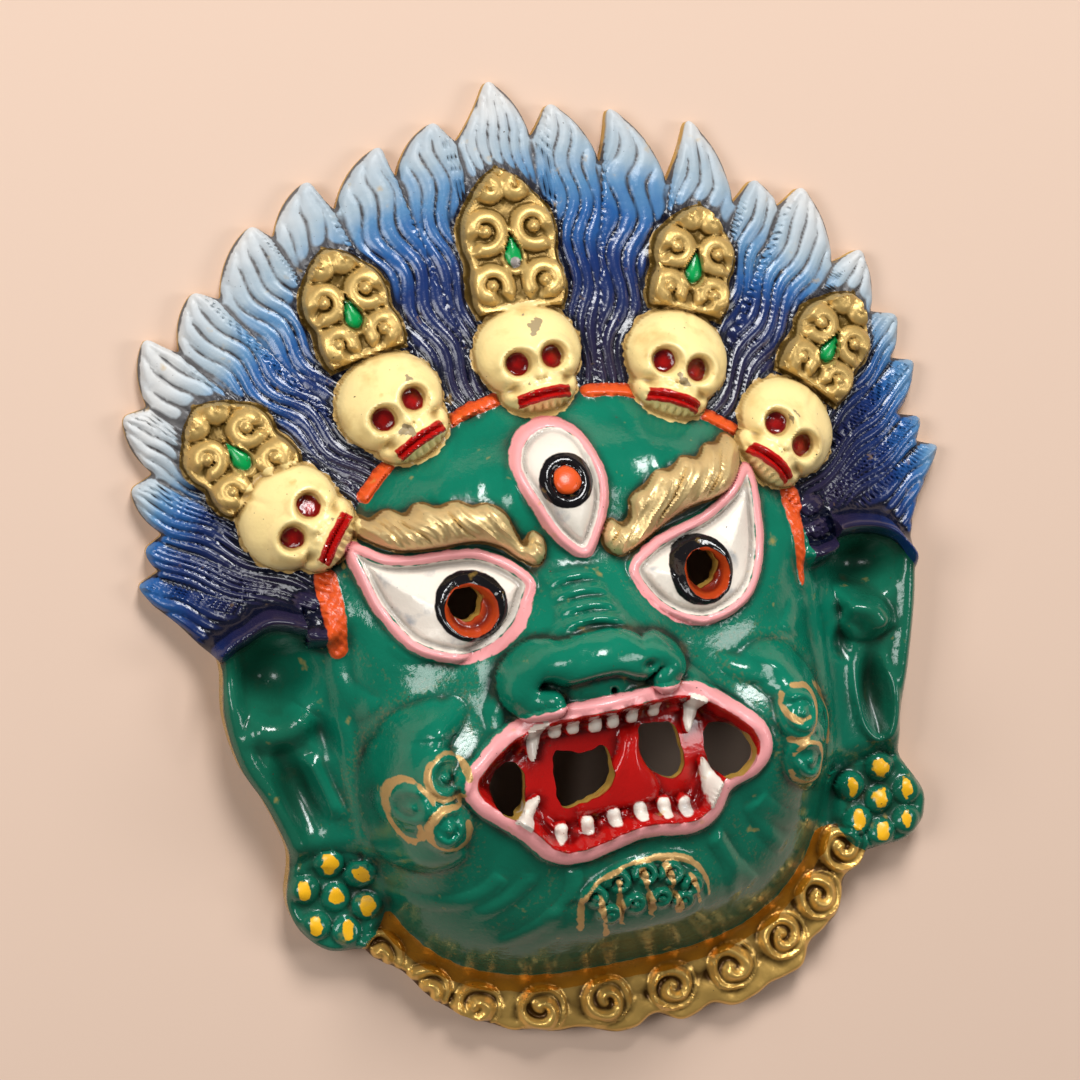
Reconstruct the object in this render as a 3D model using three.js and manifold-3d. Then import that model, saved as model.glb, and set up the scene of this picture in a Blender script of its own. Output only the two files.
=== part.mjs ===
// Painted wrathful protector mask, one thin cast shell that lies on its back, in millimetres.
// +X is the viewer's right, +Y runs towards the crown and +Z comes out of the face.
import * as THREE from 'three';
import { mergeVertices } from 'three/addons/utils/BufferGeometryUtils.js';
import Module from 'manifold-3d';

// Driving sizes. Heights are above the flat plane of the back rim.
const wall = 2.7;
const backClearance = 0.5;
const rimHeight = 4.2;
const headbandHeight = 17;
const jawFootHeight = 7;
const earPlateHeight = 8.4;
const rimWidth = 2.6;
const faceHeight = 30;
const faceBelly = 6;
const hairline = -6;
const lug = { x: 0, y: 46, height: 4.6, radius: 4.2, thickness: 3, bore: 4, stem: 9 };

const crown = { y: 5, halfWidth: 84, rise: 90 };
const headband = { y: -6, halfWidth: 51, rise: 41 };
const face = { y: -22, halfWidth: 51, up: 57.5, down: 61, upPower: 2.4, downPower: 3 };

// Tips of the flame-like locks and the notches between them, from the left ear to the right one.
const flameTips = [
  [-83.5, 9.4], [-80.8, 16.5], [-81.6, 28.5], [-80.8, 42.9], [-74, 57.4], [-63.1, 64.9], [-49.6, 76.1],
  [-37.2, 83.2], [-21.9, 87.9], [-10.5, 91.1], [1.1, 97.9], [12.8, 91.7], [24.7, 89.1], [40.8, 84.6],
  [52.6, 70.6], [62.5, 67.8], [73.2, 53.4], [79, 38.9], [81.4, 28.9], [80.8, 17.3], [84.2, 10.6],
];
const flameNotches = [
  [-79.3, 11.6], [-77.3, 18.6], [-77.3, 30.8], [-76.3, 44], [-68.3, 53.7], [-58.6, 62.9], [-46.2, 73.3],
  [-33.2, 77], [-20, 81.7], [-6.9, 87], [8.3, 85.9], [21.5, 78.6], [34.7, 72.8], [48, 66.6],
  [57.5, 64.6], [67.3, 51.6], [74.2, 40.4], [77, 30.2], [76.2, 18.6], [79.6, 12.4],
];
const fullSide = 0.19;
const hollowSide = -0.06;
const rightSide = [
  [78.6, 2], [75.6, -5], [74, -12.1], [72.4, -20.8], [69.2, -33.2], [66.2, -42.5], [65.4, -49.8],
  [67, -54.6], [69.9, -59.8], [69.4, -65.6], [65.6, -69], [56, -70.4],
];
const bandEdge = [
  [54.3, -73.2], [49.9, -75.5], [47.9, -82.6], [41, -87.4], [39.3, -91.8], [31, -94.6], [23.4, -97.4],
  [17.6, -96.4], [11.8, -98], [6, -96], [-2.1, -98], [-8.4, -95.6], [-19, -94], [-27.8, -91], [-36.3, -85.8],
  [-43.5, -77.4], [-50.1, -69.8],
];
const leftSide = [
  [-58.5, -69.4], [-63.4, -64.4], [-65, -58], [-63.4, -51.5], [-63.4, -46.9], [-66.4, -37.4], [-70.1, -29.3],
  [-71.6, -19], [-70.6, -8.7], [-74, -4], [-77.8, 2],
];

// Five skulls on the headband and the leaf-shaped ornament that rises behind each one.
// turn is the lean of the skull from upright in degrees, leaf the lean of its ornament.
const skulls = [
  { x: -51.9, y: 18.0, turn: 55, leaf: { x: -56.4, y: 24.4, turn: 31, length: 21.5, width: 20 } },
  { x: -29.4, y: 36.8, turn: 26, leaf: { x: -32.4, y: 47, turn: 12, length: 23.4, width: 17.8 } },
  { x: -1.0, y: 42.2, turn: 4, leaf: { x: -0.8, y: 51.5, turn: -1, length: 29.4, width: 20 } },
  { x: 28.4, y: 36.6, turn: -24, leaf: { x: 32.7, y: 46.2, turn: -20, length: 22.6, width: 17.6 } },
  { x: 48.6, y: 19.4, turn: -48, leaf: { x: 56, y: 27.4, turn: -40, length: 22.6, width: 17.2 } },
];
// Each oval is its middle, its two half widths and its height, in the frame of one skull.
const cranium = { x: 0, y: 1.4, wide: 10.8, tall: 9.6, rise: 8.8 };
const jaw = { x: 0, y: -5.9, wide: 8, tall: 5.4, rise: 7.8 };
const skullMarks = [
  { x: 3.5, y: -0.3, wide: 3.1, tall: 2.9, rise: -3 },
  { x: 7, y: -3, wide: 2.6, tall: 2.4, rise: 1.2 },
  { x: 0, y: -3.6, wide: 1.7, tall: 1.7, rise: 1 },
  { x: 0, y: -7.4, wide: 5.6, tall: 1.4, rise: 1 },
];
const leafRise = 3;
const leafScrollRise = 1.6;
// Share of the leaf's length, share of its width and radius of each pair of scrolls.
const leafScrolls = [[0.2, 0.27, 3.7], [0.57, 0.245, 4], [0.86, 0.12, 2.3]];
const leafJewel = { share: 0.42, wide: 2, tall: 3.8, rise: 1.2 };

const eyes = [
  {
    iris: [-23.8, -2.2],
    lid: [[-43, 11.4], [-31.5, 7.4], [-19.7, 6.8], [-11.2, 0.2], [-15.2, -7.8], [-26, -12.6],
      [-34.4, -9.2], [-39.4, -2]],
  },
  {
    iris: [24, -3.2],
    lid: [[38.3, 14.2], [33, 9.9], [20.1, 4.6], [9.4, -0.9], [15, -9.8], [24, -13.2],
      [32.2, -10.2], [37, -3.4]],
  },
];
const thirdEye = {
  pupil: [-1.1, 18.5],
  lid: [[-1.4, 29.8], [-7.4, 27.2], [-9.8, 21.4], [-6.7, 12.6], [0.5, 4], [5.9, 13.6], [6.1, 20], [3.7, 27]],
};
const brows = [
  [[-9.2, 6.2], [-13.2, 10.8], [-18.5, 12.8], [-25, 13.6], [-32, 13.2], [-41.5, 15]],
  [[7, 5.6], [11.8, 8.6], [17, 11.8], [24.6, 14.4], [31.6, 16], [36, 17.6]],
];
const browHalfWidth = 4.2;

const lipLine = [
  [-29.4, -35.8], [-26, -32], [-16, -25.8], [0, -24.2], [13.2, -24.6], [19.4, -26.8], [27, -33],
  [29.4, -38.4], [26.6, -43], [20.6, -45.4], [17.4, -50.2], [12.6, -52.2], [2.5, -51.1], [-9.3, -53.9],
  [-15.2, -52.8], [-20, -47.6], [-28, -40.4],
];
const lipHalfWidth = 2.2;
const lipRise = 2.2;
const mouthDepth = 5.5;
const upperTeeth = [[-11.2, -28.9], [-7.6, -28.7], [-3.3, -29.2], [0.3, -29], [4.3, -28.4], [9.1, -28]];
const lowerTeeth = [[-12.5, -49.3], [-7.2, -48.8], [-1.9, -48], [3.2, -47.7], [8.4, -48.1], [12.5, -48.8]];
const toothSize = [1.6, 2.1];
const toothRise = 3;
const fangs = [
  { root: [-15, -26.2], point: [-16.2, -33.8] },
  { root: [17.4, -27.3], point: [14.9, -32.9] },
  { root: [-20.6, -46], point: [-15.9, -41.3] },
  { root: [18.5, -47], point: [17.2, -39.9] },
];
const mouthHoles = [
  [[-21, -33.8], [-18.3, -35.6], [-18.1, -40], [-19.2, -43.5], [-21.9, -44.4], [-24.9, -41.8], [-24.5, -37]],
  [[-11.6, -33], [-6.5, -34.1], [-2.2, -33.3], [-1.1, -37], [-2.4, -41.4], [-6.7, -43.7], [-11.6, -44.4],
    [-12.5, -38.6]],
  [[5.1, -31.4], [8.6, -30.8], [12.7, -32.2], [13.6, -37], [13.5, -40.6], [11.3, -42.7], [7, -40.4],
    [4.6, -36.6]],
  [[18.6, -35.2], [20.6, -33.4], [24.6, -34.5], [27.4, -37.6], [27.1, -41.3], [24.8, -43.8], [21, -44],
    [18.7, -40.4]],
];
const eyeHoleRadius = 3.5;

// The nose is one roll that runs from wing to wing, with a hollow below it.
const noseRoll = [
  [-12.8, -22.6], [-16.4, -22], [-17.2, -18], [-13.8, -14.6], [-9, -15.6], [-3, -14.8], [1.6, -15],
  [6, -17], [10.2, -16.4], [12.8, -19], [11, -21.6],
];
// Wrinkles above the nose: height up the face and the two ends of each one.
const wrinkles = [[-0.6, -8.4, 2.2], [-4.6, -8.2, 3.4], [-8.2, -7.6, 4.4]];
const cheekDiscs = [
  [-34, -33.6], [-34.8, -43.4], [-41.4, -38.6], [37.2, -33.4], [37.8, -43.4], [44.6, -38.4],
];
const cheekBall = { x: 39.5, y: -36, wide: 10.5, tall: 18.4, rise: 3.6 };
const chinFan = { x: 2.4, y: -70.5, radius: 13.4 };
const scrollAngles = [-133.9, -124.2, -115.2, -104.2, -93, -81.2, -70.4, -60.6, -51.5, -42.6];
const scrollRadius = 5;
const scrollInset = 7.2;
const filletWidth = 3.6;
const ears = [
  {
    side: -1,
    arch: [[-51, -7.5], [-55, -2.6], [-61, -0.6], [-67, -2.6], [-71.4, -8]],
    edge: [[-70.4, -12], [-69.4, -24], [-65, -37], [-61.6, -47]],
    fold: [[-66, -22.6], [-61.6, -24], [-57.4, -22.4], [-54.6, -18.6]],
    hollows: [[-61.4, -12.2, 10.4, 9.4], [-59.4, -35.8, 4.6, 10.6]],
    beads: [[-55.8, -51.5], [-50.2, -54.6], [-61.3, -56], [-55.4, -58.6], [-49.6, -61.4], [-60.2, -63.6],
      [-54.4, -65.8]],
  },
  {
    side: 1,
    arch: [[51.4, -8], [56, -3], [62, -1.4], [69, -4], [73.2, -10.4]],
    edge: [[71.6, -14], [70.6, -24], [67, -35], [63.6, -47]],
    fold: [[55.2, -17.6], [58.8, -17.8], [62.4, -20.4], [64.8, -25.4]],
    hollows: [[61.6, -10.8, 10.4, 8.4], [60.9, -36.8, 4.2, 10.4]],
    beads: [[60.4, -53], [53.8, -56], [65.6, -58.9], [59.4, -59.6], [54.4, -63.2], [64.6, -65], [59, -66.6]],
  },
];
const earFill = 3;
const hollowDepth = 4;
const beadRadius = 3.5;
const creases = [
  [[-9.5, -0.5], [-21, -12.5], [-29, -16.5], [-39, -15.5], [-46, -8]],
  [[6.5, -1], [18, -14.5], [26, -17.2], [35, -14.5], [41, -8]],
  [[-47, -53], [-38.3, -56.4], [-28.6, -53]], [[-29, -67.4], [-22.4, -65.4], [-16.6, -60.6]],
  [[22.6, -54], [25.6, -59.7], [30, -65]], [[31.6, -47.4], [36.4, -51.7], [43.4, -54.6]],
];

// Small helpers for smooth heights.
const degrees = (angle) => (angle * Math.PI) / 180;
const clamp = (value, low, high) => Math.min(high, Math.max(low, value));
const ease = (low, high, value) => {
  const t = clamp((value - low) / (high - low), 0, 1);
  return t * t * (3 - 2 * t);
};
const dome = (reach) => Math.sqrt(Math.max(0, 1 - reach * reach));
const swell = (reach) => Math.max(0, 1 - reach * reach) ** 2;
const ellipse = (x, y, cx, cy, rx, ry) => Math.hypot((x - cx) / rx, (y - cy) / ry);

// Turns a point into the frame of something that stands at cx, cy and leans by turn degrees.
function lean(x, y, cx, cy, turn) {
  const c = Math.cos(degrees(turn));
  const s = Math.sin(degrees(turn));
  return [(x - cx) * c + (y - cy) * s, -(x - cx) * s + (y - cy) * c];
}

// A curve through the given points, kept as short straight steps with its box for quick tests.
function trace(points, closed, steps) {
  const knots = points.map(([x, y]) => new THREE.Vector3(x, y, 0));
  const curve = new THREE.CatmullRomCurve3(knots, closed, 'centripetal');
  const path = curve.getPoints(steps).map((p) => [p.x, p.y]);
  const xs = path.map((p) => p[0]);
  const ys = path.map((p) => p[1]);
  return { path, closed, box: [Math.min(...xs), Math.max(...xs), Math.min(...ys), Math.max(...ys)] };
}

// Distance from a point to a traced curve, negative inside a closed one. far is returned out of reach.
function distanceTo(line, x, y, far) {
  const [x0, x1, y0, y1] = line.box;
  if (x < x0 - far || x > x1 + far || y < y0 - far || y > y1 + far) return { d: far, t: 0 };
  let best = Infinity;
  let at = 0;
  let inside = false;
  const { path } = line;
  for (let i = 0; i + 1 < path.length; i += 1) {
    const [ax, ay] = path[i];
    const [bx, by] = path[i + 1];
    const length = (bx - ax) ** 2 + (by - ay) ** 2;
    const t = clamp(((x - ax) * (bx - ax) + (y - ay) * (by - ay)) / length, 0, 1);
    const d = (x - ax - t * (bx - ax)) ** 2 + (y - ay - t * (by - ay)) ** 2;
    if (d < best) {
      best = d;
      at = (i + t) / (path.length - 1);
    }
    if ((ay > y) !== (by > y) && x < ax + ((y - ay) / (by - ay)) * (bx - ax)) inside = !inside;
  }
  const d = Math.sqrt(best);
  return { d: line.closed && inside ? -d : d, t: at };
}

const eyeLids = eyes.map((eye) => trace(eye.lid, true, 40));
const thirdLid = trace(thirdEye.lid, true, 40);
const browLines = brows.map((line) => trace(line, false, 16));
const lips = trace(lipLine, true, 68);
const nose = trace(noseRoll, false, 24);
const arches = ears.map((ear) => trace(ear.arch, false, 12));
const earEdges = ears.map((ear) => trace(ear.edge, false, 8));
const creaseLines = creases.map((line) => trace(line, false, 6));
const folds = ears.map((ear) => trace(ear.fold, false, 14));

// Where a point lies against the foot of the face: 1 on the foot, less inside, more outside.
function faceReach(x, y) {
  const up = y > face.y;
  const power = up ? face.upPower : face.downPower;
  const along = Math.abs(y - face.y) / (up ? face.up : face.down);
  return ((Math.abs(x) / face.halfWidth) ** power + along ** power) ** (1 / power);
}

// Depth in millimetres inside the foot of the face, negative outside it.
function faceInset(x, y) {
  const reach = faceReach(x, y);
  return reach < 0.02 ? face.halfWidth : Math.hypot(x, y - face.y) * (1 / reach - 1);
}

// The hair falls from the headband to the thin rim of the flames.
function crownHeight(x, y) {
  const inner = ellipse(x, y, 0, headband.y, headband.halfWidth, headband.rise);
  const outer = ellipse(x, y, 0, crown.y, crown.halfWidth, crown.rise);
  const fromBand = Math.max(0, (1 - 1 / Math.max(inner, 0.2)) * Math.hypot(x, y - headband.y));
  const fromRim = Math.max(0, (1 / Math.max(outer, 0.2) - 1) * Math.hypot(x, y - crown.y));
  const s = fromBand / (fromBand + fromRim + 0.001);
  return rimHeight + (headbandHeight - rimHeight) * (1 - s) ** 1.25;
}

// Which lock of hair a point belongs to, as a running number that is whole on a lock's ridge.
const tipAngles = flameTips.map(([x, y]) => Math.atan2(x, y - headband.y));
function lockNumber(x, y) {
  const angle = Math.atan2(x, y - headband.y);
  for (let i = 0; i + 1 < tipAngles.length; i += 1) {
    const width = tipAngles[i + 1] - tipAngles[i];
    if (angle < tipAngles[i + 1]) return i + clamp((angle - tipAngles[i]) / width, 0, 1);
  }
  return tipAngles.length - 1;
}

function lockRelief(x, y) {
  const outer = ellipse(x, y, 0, crown.y, crown.halfWidth, crown.rise);
  const wave = 0.16 * Math.sin(outer * 16);
  return 0.75 * Math.cos(2 * Math.PI * (lockNumber(x, y) + wave)) * ease(0.62, 0.9, outer);
}

// The large swellings of the face, shared by the front and the hollow back.
function faceForms(x, y) {
  const side = Math.abs(x);
  let z = -4.5 * swell(ellipse(side, y, 25, -1, 21, 16));
  z += 8.5 * swell(ellipse(side, y, 38, -37, 17, 23));
  z += 7.5 * swell(ellipse(x, y, 0, -38, 42, 28));
  z += 7 * swell(ellipse(x, y, 2, -67, 26, 15));
  z += 5 * swell(ellipse(x, y, -1.5, 20, 17, 19));
  z += 4 * swell(ellipse(side, y, 24, 18, 24, 13));
  z += 9.5 * swell(ellipse(x, y, -2.5, -14, 22, 19));
  return z;
}

function bodyHeight(x, y) {
  const inset = faceInset(x, y);
  const upward = ease(-10, 12, y);
  const foot = upward * headbandHeight + (1 - upward) * (jawFootHeight + 4 * ease(-62, -30, y));
  if (inset > 0) {
    const crest = faceHeight + faceBelly * (1 - Math.min(1, faceReach(x, y)) ** 2);
    const run = 9 + 5 * upward;
    const climb = 1 - Math.exp(-inset / run);
    const throat = mouthDepth * ease(-1.4, -4, distanceTo(lips, x, y, 5).d);
    return foot + (crest - foot) * climb + faceForms(x, y) * ease(0, 12, inset) - throat;
  }
  const plate = jawFootHeight + (earPlateHeight - jawFootHeight) * ease(-58, -46, y);
  const hair = crownHeight(x, y);
  return plate + (Math.max(hair, rimHeight) - plate) * ease(-9, 0, y);
}

function skullRelief(x, y) {
  let z = 0;
  for (const skull of skulls) {
    const [u, v] = lean(x, y, skull.x, skull.y, skull.turn);
    if (Math.hypot(u, v) > 16) continue;
    const lump = (oval) => oval.rise * dome(ellipse(u, v, oval.x, oval.y, oval.wide, oval.tall));
    let bone = Math.max(lump(cranium), lump(jaw));
    if (bone <= 0) continue;
    for (const mark of skullMarks) {
      bone += mark.rise * swell(ellipse(Math.abs(u), v, mark.x, mark.y, mark.wide, mark.tall));
    }
    z = Math.max(z, bone);
  }
  return z;
}

// Half the width of a leaf ornament at a share v of its length.
function leafHalfWidth(v, width) {
  return (width / 2) * (v < 0.42 ? 0.9 + 0.1 * Math.sin((v / 0.42) * Math.PI * 0.5) : dome((v - 0.42) / 0.6));
}

function leafRelief(x, y) {
  let z = 0;
  for (const { leaf } of skulls) {
    const [u, v] = lean(x, y, leaf.x, leaf.y, leaf.turn);
    const share = v / leaf.length;
    if (share < 0 || share > 1.02 || Math.abs(u) > leaf.width) continue;
    const edge = leafHalfWidth(share, leaf.width) - Math.abs(u);
    if (edge <= 0) continue;
    let plate = leafRise * ease(0, 1.4, edge);
    for (const [along, across, radius] of leafScrolls) {
      const r = Math.hypot(Math.abs(u) - across * leaf.width, v - along * leaf.length) / radius;
      plate += leafScrollRise * swell(r * 0.9);
    }
    const { share: jewelAt, wide, tall, rise } = leafJewel;
    plate += rise * swell(ellipse(u, v, 0, jewelAt * leaf.length, wide, tall));
    z = Math.max(z, plate);
  }
  return z;
}

// Above each ear runs a rolled edge of hair. The ear itself is a basin with a fold and a long hollow.
function earRelief(x, y) {
  let z = 0;
  ears.forEach((ear, i) => {
    if (x * ear.side < 44) return;
    z += earFill * ease(-53, -46, y) * ease(2, -6, y) * (1 + 0.6 * ease(-9, 0, faceInset(x, y)));
    z += 1.4 * swell(distanceTo(earEdges[i], x, y, 4).d / 4);
    z += 3.4 * swell(distanceTo(folds[i], x, y, 5).d / 4.6);
    for (const hollow of ear.hollows) z -= hollowDepth * swell(ellipse(x, y, ...hollow));
    const arch = 4 * dome(distanceTo(arches[i], x, y, 4).d / 3);
    const beads = ear.beads.map(([bx, by]) => 3.8 * dome(Math.hypot(x - bx, y - by) / beadRadius));
    z = Math.max(z + arch, ...beads);
  });
  return z * ease(5, 0, faceInset(x, y));
}

const scrollCentres = scrollAngles.map((angle) => {
  const dx = Math.cos(degrees(angle));
  const dy = Math.sin(degrees(angle));
  const foot = 1 / faceReach(dx, face.y + dy);
  return [(foot + scrollInset) * dx, face.y + (foot + scrollInset) * dy];
});

function bandRelief(x, y) {
  if (y > -52) return 0;
  let z = 2 * dome((faceInset(x, y) + filletWidth / 2) / (filletWidth / 2));
  for (const [cx, cy] of scrollCentres) z = Math.max(z, 3 * dome(Math.hypot(x - cx, y - cy) / scrollRadius));
  return z;
}

function eyeRelief(x, y) {
  let z = 0;
  eyes.forEach((eye, i) => {
    const { d } = distanceTo(eyeLids[i], x, y, 6);
    if (d >= 6) return;
    const [cx, cy] = eye.iris;
    z += 1.9 * swell(Math.abs(d) / 2.6) + 5.4 * ease(2, -9, d);
    z -= 2.6 * ease(5.2, 3.2, Math.hypot(x - cx, y - cy));
  });
  const { d } = distanceTo(thirdLid, x, y, 8);
  if (d < 8) {
    const r = Math.hypot(x - thirdEye.pupil[0], y - thirdEye.pupil[1]);
    z += 1.6 * swell(Math.abs(d) / 2.2) + 1.8 * ease(1, -5, d) + 1.3 * dome(r / 2.7);
    z += 2 * swell((d - 5) / 3) * ease(32, 26, y);
  }
  return z;
}

function browRelief(x, y) {
  let z = 0;
  for (const line of browLines) {
    const { d, t } = distanceTo(line, x, y, 7);
    if (d >= 7) continue;
    const thick = browHalfWidth * (0.62 + 0.38 * Math.sin(Math.PI * clamp(t * 0.9 + 0.08, 0, 1)));
    const twist = 0.5 * Math.cos((t * 34 + (y - x * 0.2) * 0.5));
    z = Math.max(z, (4.2 + twist) * dome(d / thick));
  }
  return z;
}

function noseRelief(x, y) {
  const { d, t } = distanceTo(nose, x, y, 9);
  let z = 0;
  if (d < 9) {
    const thick = 3.6 + 2 * Math.sin(Math.PI * t) ** 2;
    z += 5.6 * dome(d / thick);
  }
  z -= 3.4 * swell(ellipse(x, y, -3.4, -20.8, 14.5, 3.6)) * (d < 9 ? ease(2.5, 5, d) : 1);
  for (const [wy, x0, x1] of wrinkles) {
    const slope = (x - x0) / (x1 - x0);
    if (slope > 0 && slope < 1) z += 1.3 * swell((y - wy) / 1.7) * Math.sin(Math.PI * slope) ** 0.5;
  }
  return z;
}

function mouthRelief(x, y) {
  const { d } = distanceTo(lips, x, y, 5);
  if (d >= 5) return 0;
  let z = lipRise * dome(Math.abs(d) / lipHalfWidth);
  if (d < -1) {
    let tooth = 0;
    for (const [tx, ty] of [...upperTeeth, ...lowerTeeth]) {
      tooth = Math.max(tooth, toothRise * dome(ellipse(x, y, tx, ty, ...toothSize)));
    }
    for (const { root, point } of fangs) {
      const length = Math.hypot(point[0] - root[0], point[1] - root[1]);
      const [dx, dy] = [(point[0] - root[0]) / length, (point[1] - root[1]) / length];
      const along = (x - root[0]) * dx + (y - root[1]) * dy;
      const across = (x - root[0]) * dy - (y - root[1]) * dx;
      const taper = clamp(1 - along / length, 0, 1);
      if (along > -2 && taper > 0) tooth = Math.max(tooth, 5.4 * dome(across / (0.5 + 1.9 * taper)));
    }
    const spread = 2 + 6.5 * ease(-34, -45, y);
    const tongue = 2.6 * dome((x - 2.4 + 0.25 * (-34 - y)) / spread) * ease(-31, -33, y) * ease(-47, -44, y);
    z += Math.max(tooth, tongue) * ease(-0.6, -2.4, d);
  }
  return z;
}

function cheekRelief(x, y) {
  let z = 0;
  for (const [cx, cy] of cheekDiscs) z = Math.max(z, 1.3 * ease(5.6, 4, Math.hypot(x - cx, y - cy)));
  for (const line of creaseLines) z -= 2.2 * swell(distanceTo(line, x, y, 4).d / 3.4);
  const ball = ellipse(Math.abs(x), y, cheekBall.x, cheekBall.y, cheekBall.wide, cheekBall.tall);
  z += cheekBall.rise * ease(1.02, 0.6, ball);
  const fan = ellipse(x, y, chinFan.x, chinFan.y, chinFan.radius, chinFan.radius);
  if (y > chinFan.y) {
    z += 1.4 * ease(1, 0.88, fan);
    const spoke = (Math.atan2(y - chinFan.y, x - chinFan.x) / Math.PI) * 5 - 0.5;
    z += 1.3 * Math.cos(Math.PI * (spoke - Math.round(spoke))) ** 2 * ease(0.16, 0.06, Math.abs(fan - 0.7));
  }
  return z;
}

function frontHeight(x, y) {
  const inset = faceInset(x, y);
  let z = bodyHeight(x, y);
  if (inset > 0) z += eyeRelief(x, y) + noseRelief(x, y) + mouthRelief(x, y) + cheekRelief(x, y);
  if (inset > 0) z = Math.max(z, bodyHeight(x, y) + browRelief(x, y));
  if (inset <= 0 && y > -6) z += lockRelief(x, y);
  if (inset <= 5) z += earRelief(x, y);
  if (inset <= 0) z += bandRelief(x, y);
  const base = crownHeight(x, y);
  const bone = skullRelief(x, y);
  if (bone > 0) z = Math.max(z, Math.min(base, headbandHeight) + bone);
  const leaf = leafRelief(x, y);
  if (leaf > 0) z = Math.max(z, base + leaf);
  return z;
}

// One lick of flame: the side towards the crown's middle is hollow, the other one is full.
function flameOutline() {
  const points = [];
  const sideSteps = 4;
  flameTips.forEach((tip, i) => {
    const full = tip[0] < 0 ? 1 : -1;
    for (const [from, to, rising] of [[flameNotches[i - 1], tip, 1], [tip, flameNotches[i], -1]]) {
      if (!from || !to) continue;
      const dx = to[0] - from[0];
      const dy = to[1] - from[1];
      const bulge = rising * full > 0 ? fullSide : hollowSide;
      const bend = [(from[0] + to[0]) / 2 - dy * bulge, (from[1] + to[1]) / 2 + dx * bulge];
      for (let k = 0; k < sideSteps; k += 1) {
        const t = k / sideSteps;
        const [p, q, r] = [(1 - t) ** 2, 2 * t * (1 - t), t * t];
        points.push([p * from[0] + q * bend[0] + r * to[0], p * from[1] + q * bend[1] + r * to[1]]);
      }
    }
  });
  points.push(flameTips[flameTips.length - 1]);
  return points;
}

const outlinePoints = [...flameOutline(), ...rightSide, ...bandEdge, ...leftSide];
const outline = {
  path: [...outlinePoints, outlinePoints[0]],
  closed: true,
  box: [-crown.halfWidth - 1, crown.halfWidth + 1, -100, 100],
};

// The hollow back follows the large forms one wall thickness below them. The rim is flat.
function backHeight(x, y) {
  const step = 1;
  const dx = (bodyHeight(x + step, y) - bodyHeight(x - step, y)) / (2 * step);
  const dy = (bodyHeight(x, y + step) - bodyHeight(x, y - step)) / (2 * step);
  const steep = Math.min(2.3, Math.sqrt(1 + dx * dx + dy * dy));
  const hollow = Math.max(0, bodyHeight(x, y) - wall * steep - backClearance);
  return hollow * ease(-rimWidth, -rimWidth - 5, distanceTo(outline, x, y, 9).d);
}

// How closely the triangles follow the height: nothing outside the outline, most on the features.
function careAt(x, y) {
  const inset = faceInset(x, y);
  if (inset > 0) {
    if (eyeLids.some((lid) => distanceTo(lid, x, y, 4).d < 2.5)) return 2.6;
    if (distanceTo(thirdLid, x, y, 4).d < 2.5) return 2.2;
    if (cheekDiscs.some(([cx, cy]) => Math.hypot(x - cx, y - cy) < 6)) return 1.7;
    return distanceTo(lips, x, y, 5).d < -2.5 ? 0.6 : 1;
  }
  if (y < -52) return inset > -scrollInset - scrollRadius - 1 || Math.abs(x) > 48 ? 0.6 : 0;
  if (y < hairline) return Math.abs(x) < 76 ? 0.7 : 0;
  if (ellipse(x, y, 0, crown.y, crown.halfWidth, crown.rise) > 1.04) return 0;
  return leafRelief(x, y) > 2 ? 1.2 : 0.8;
}

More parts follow.
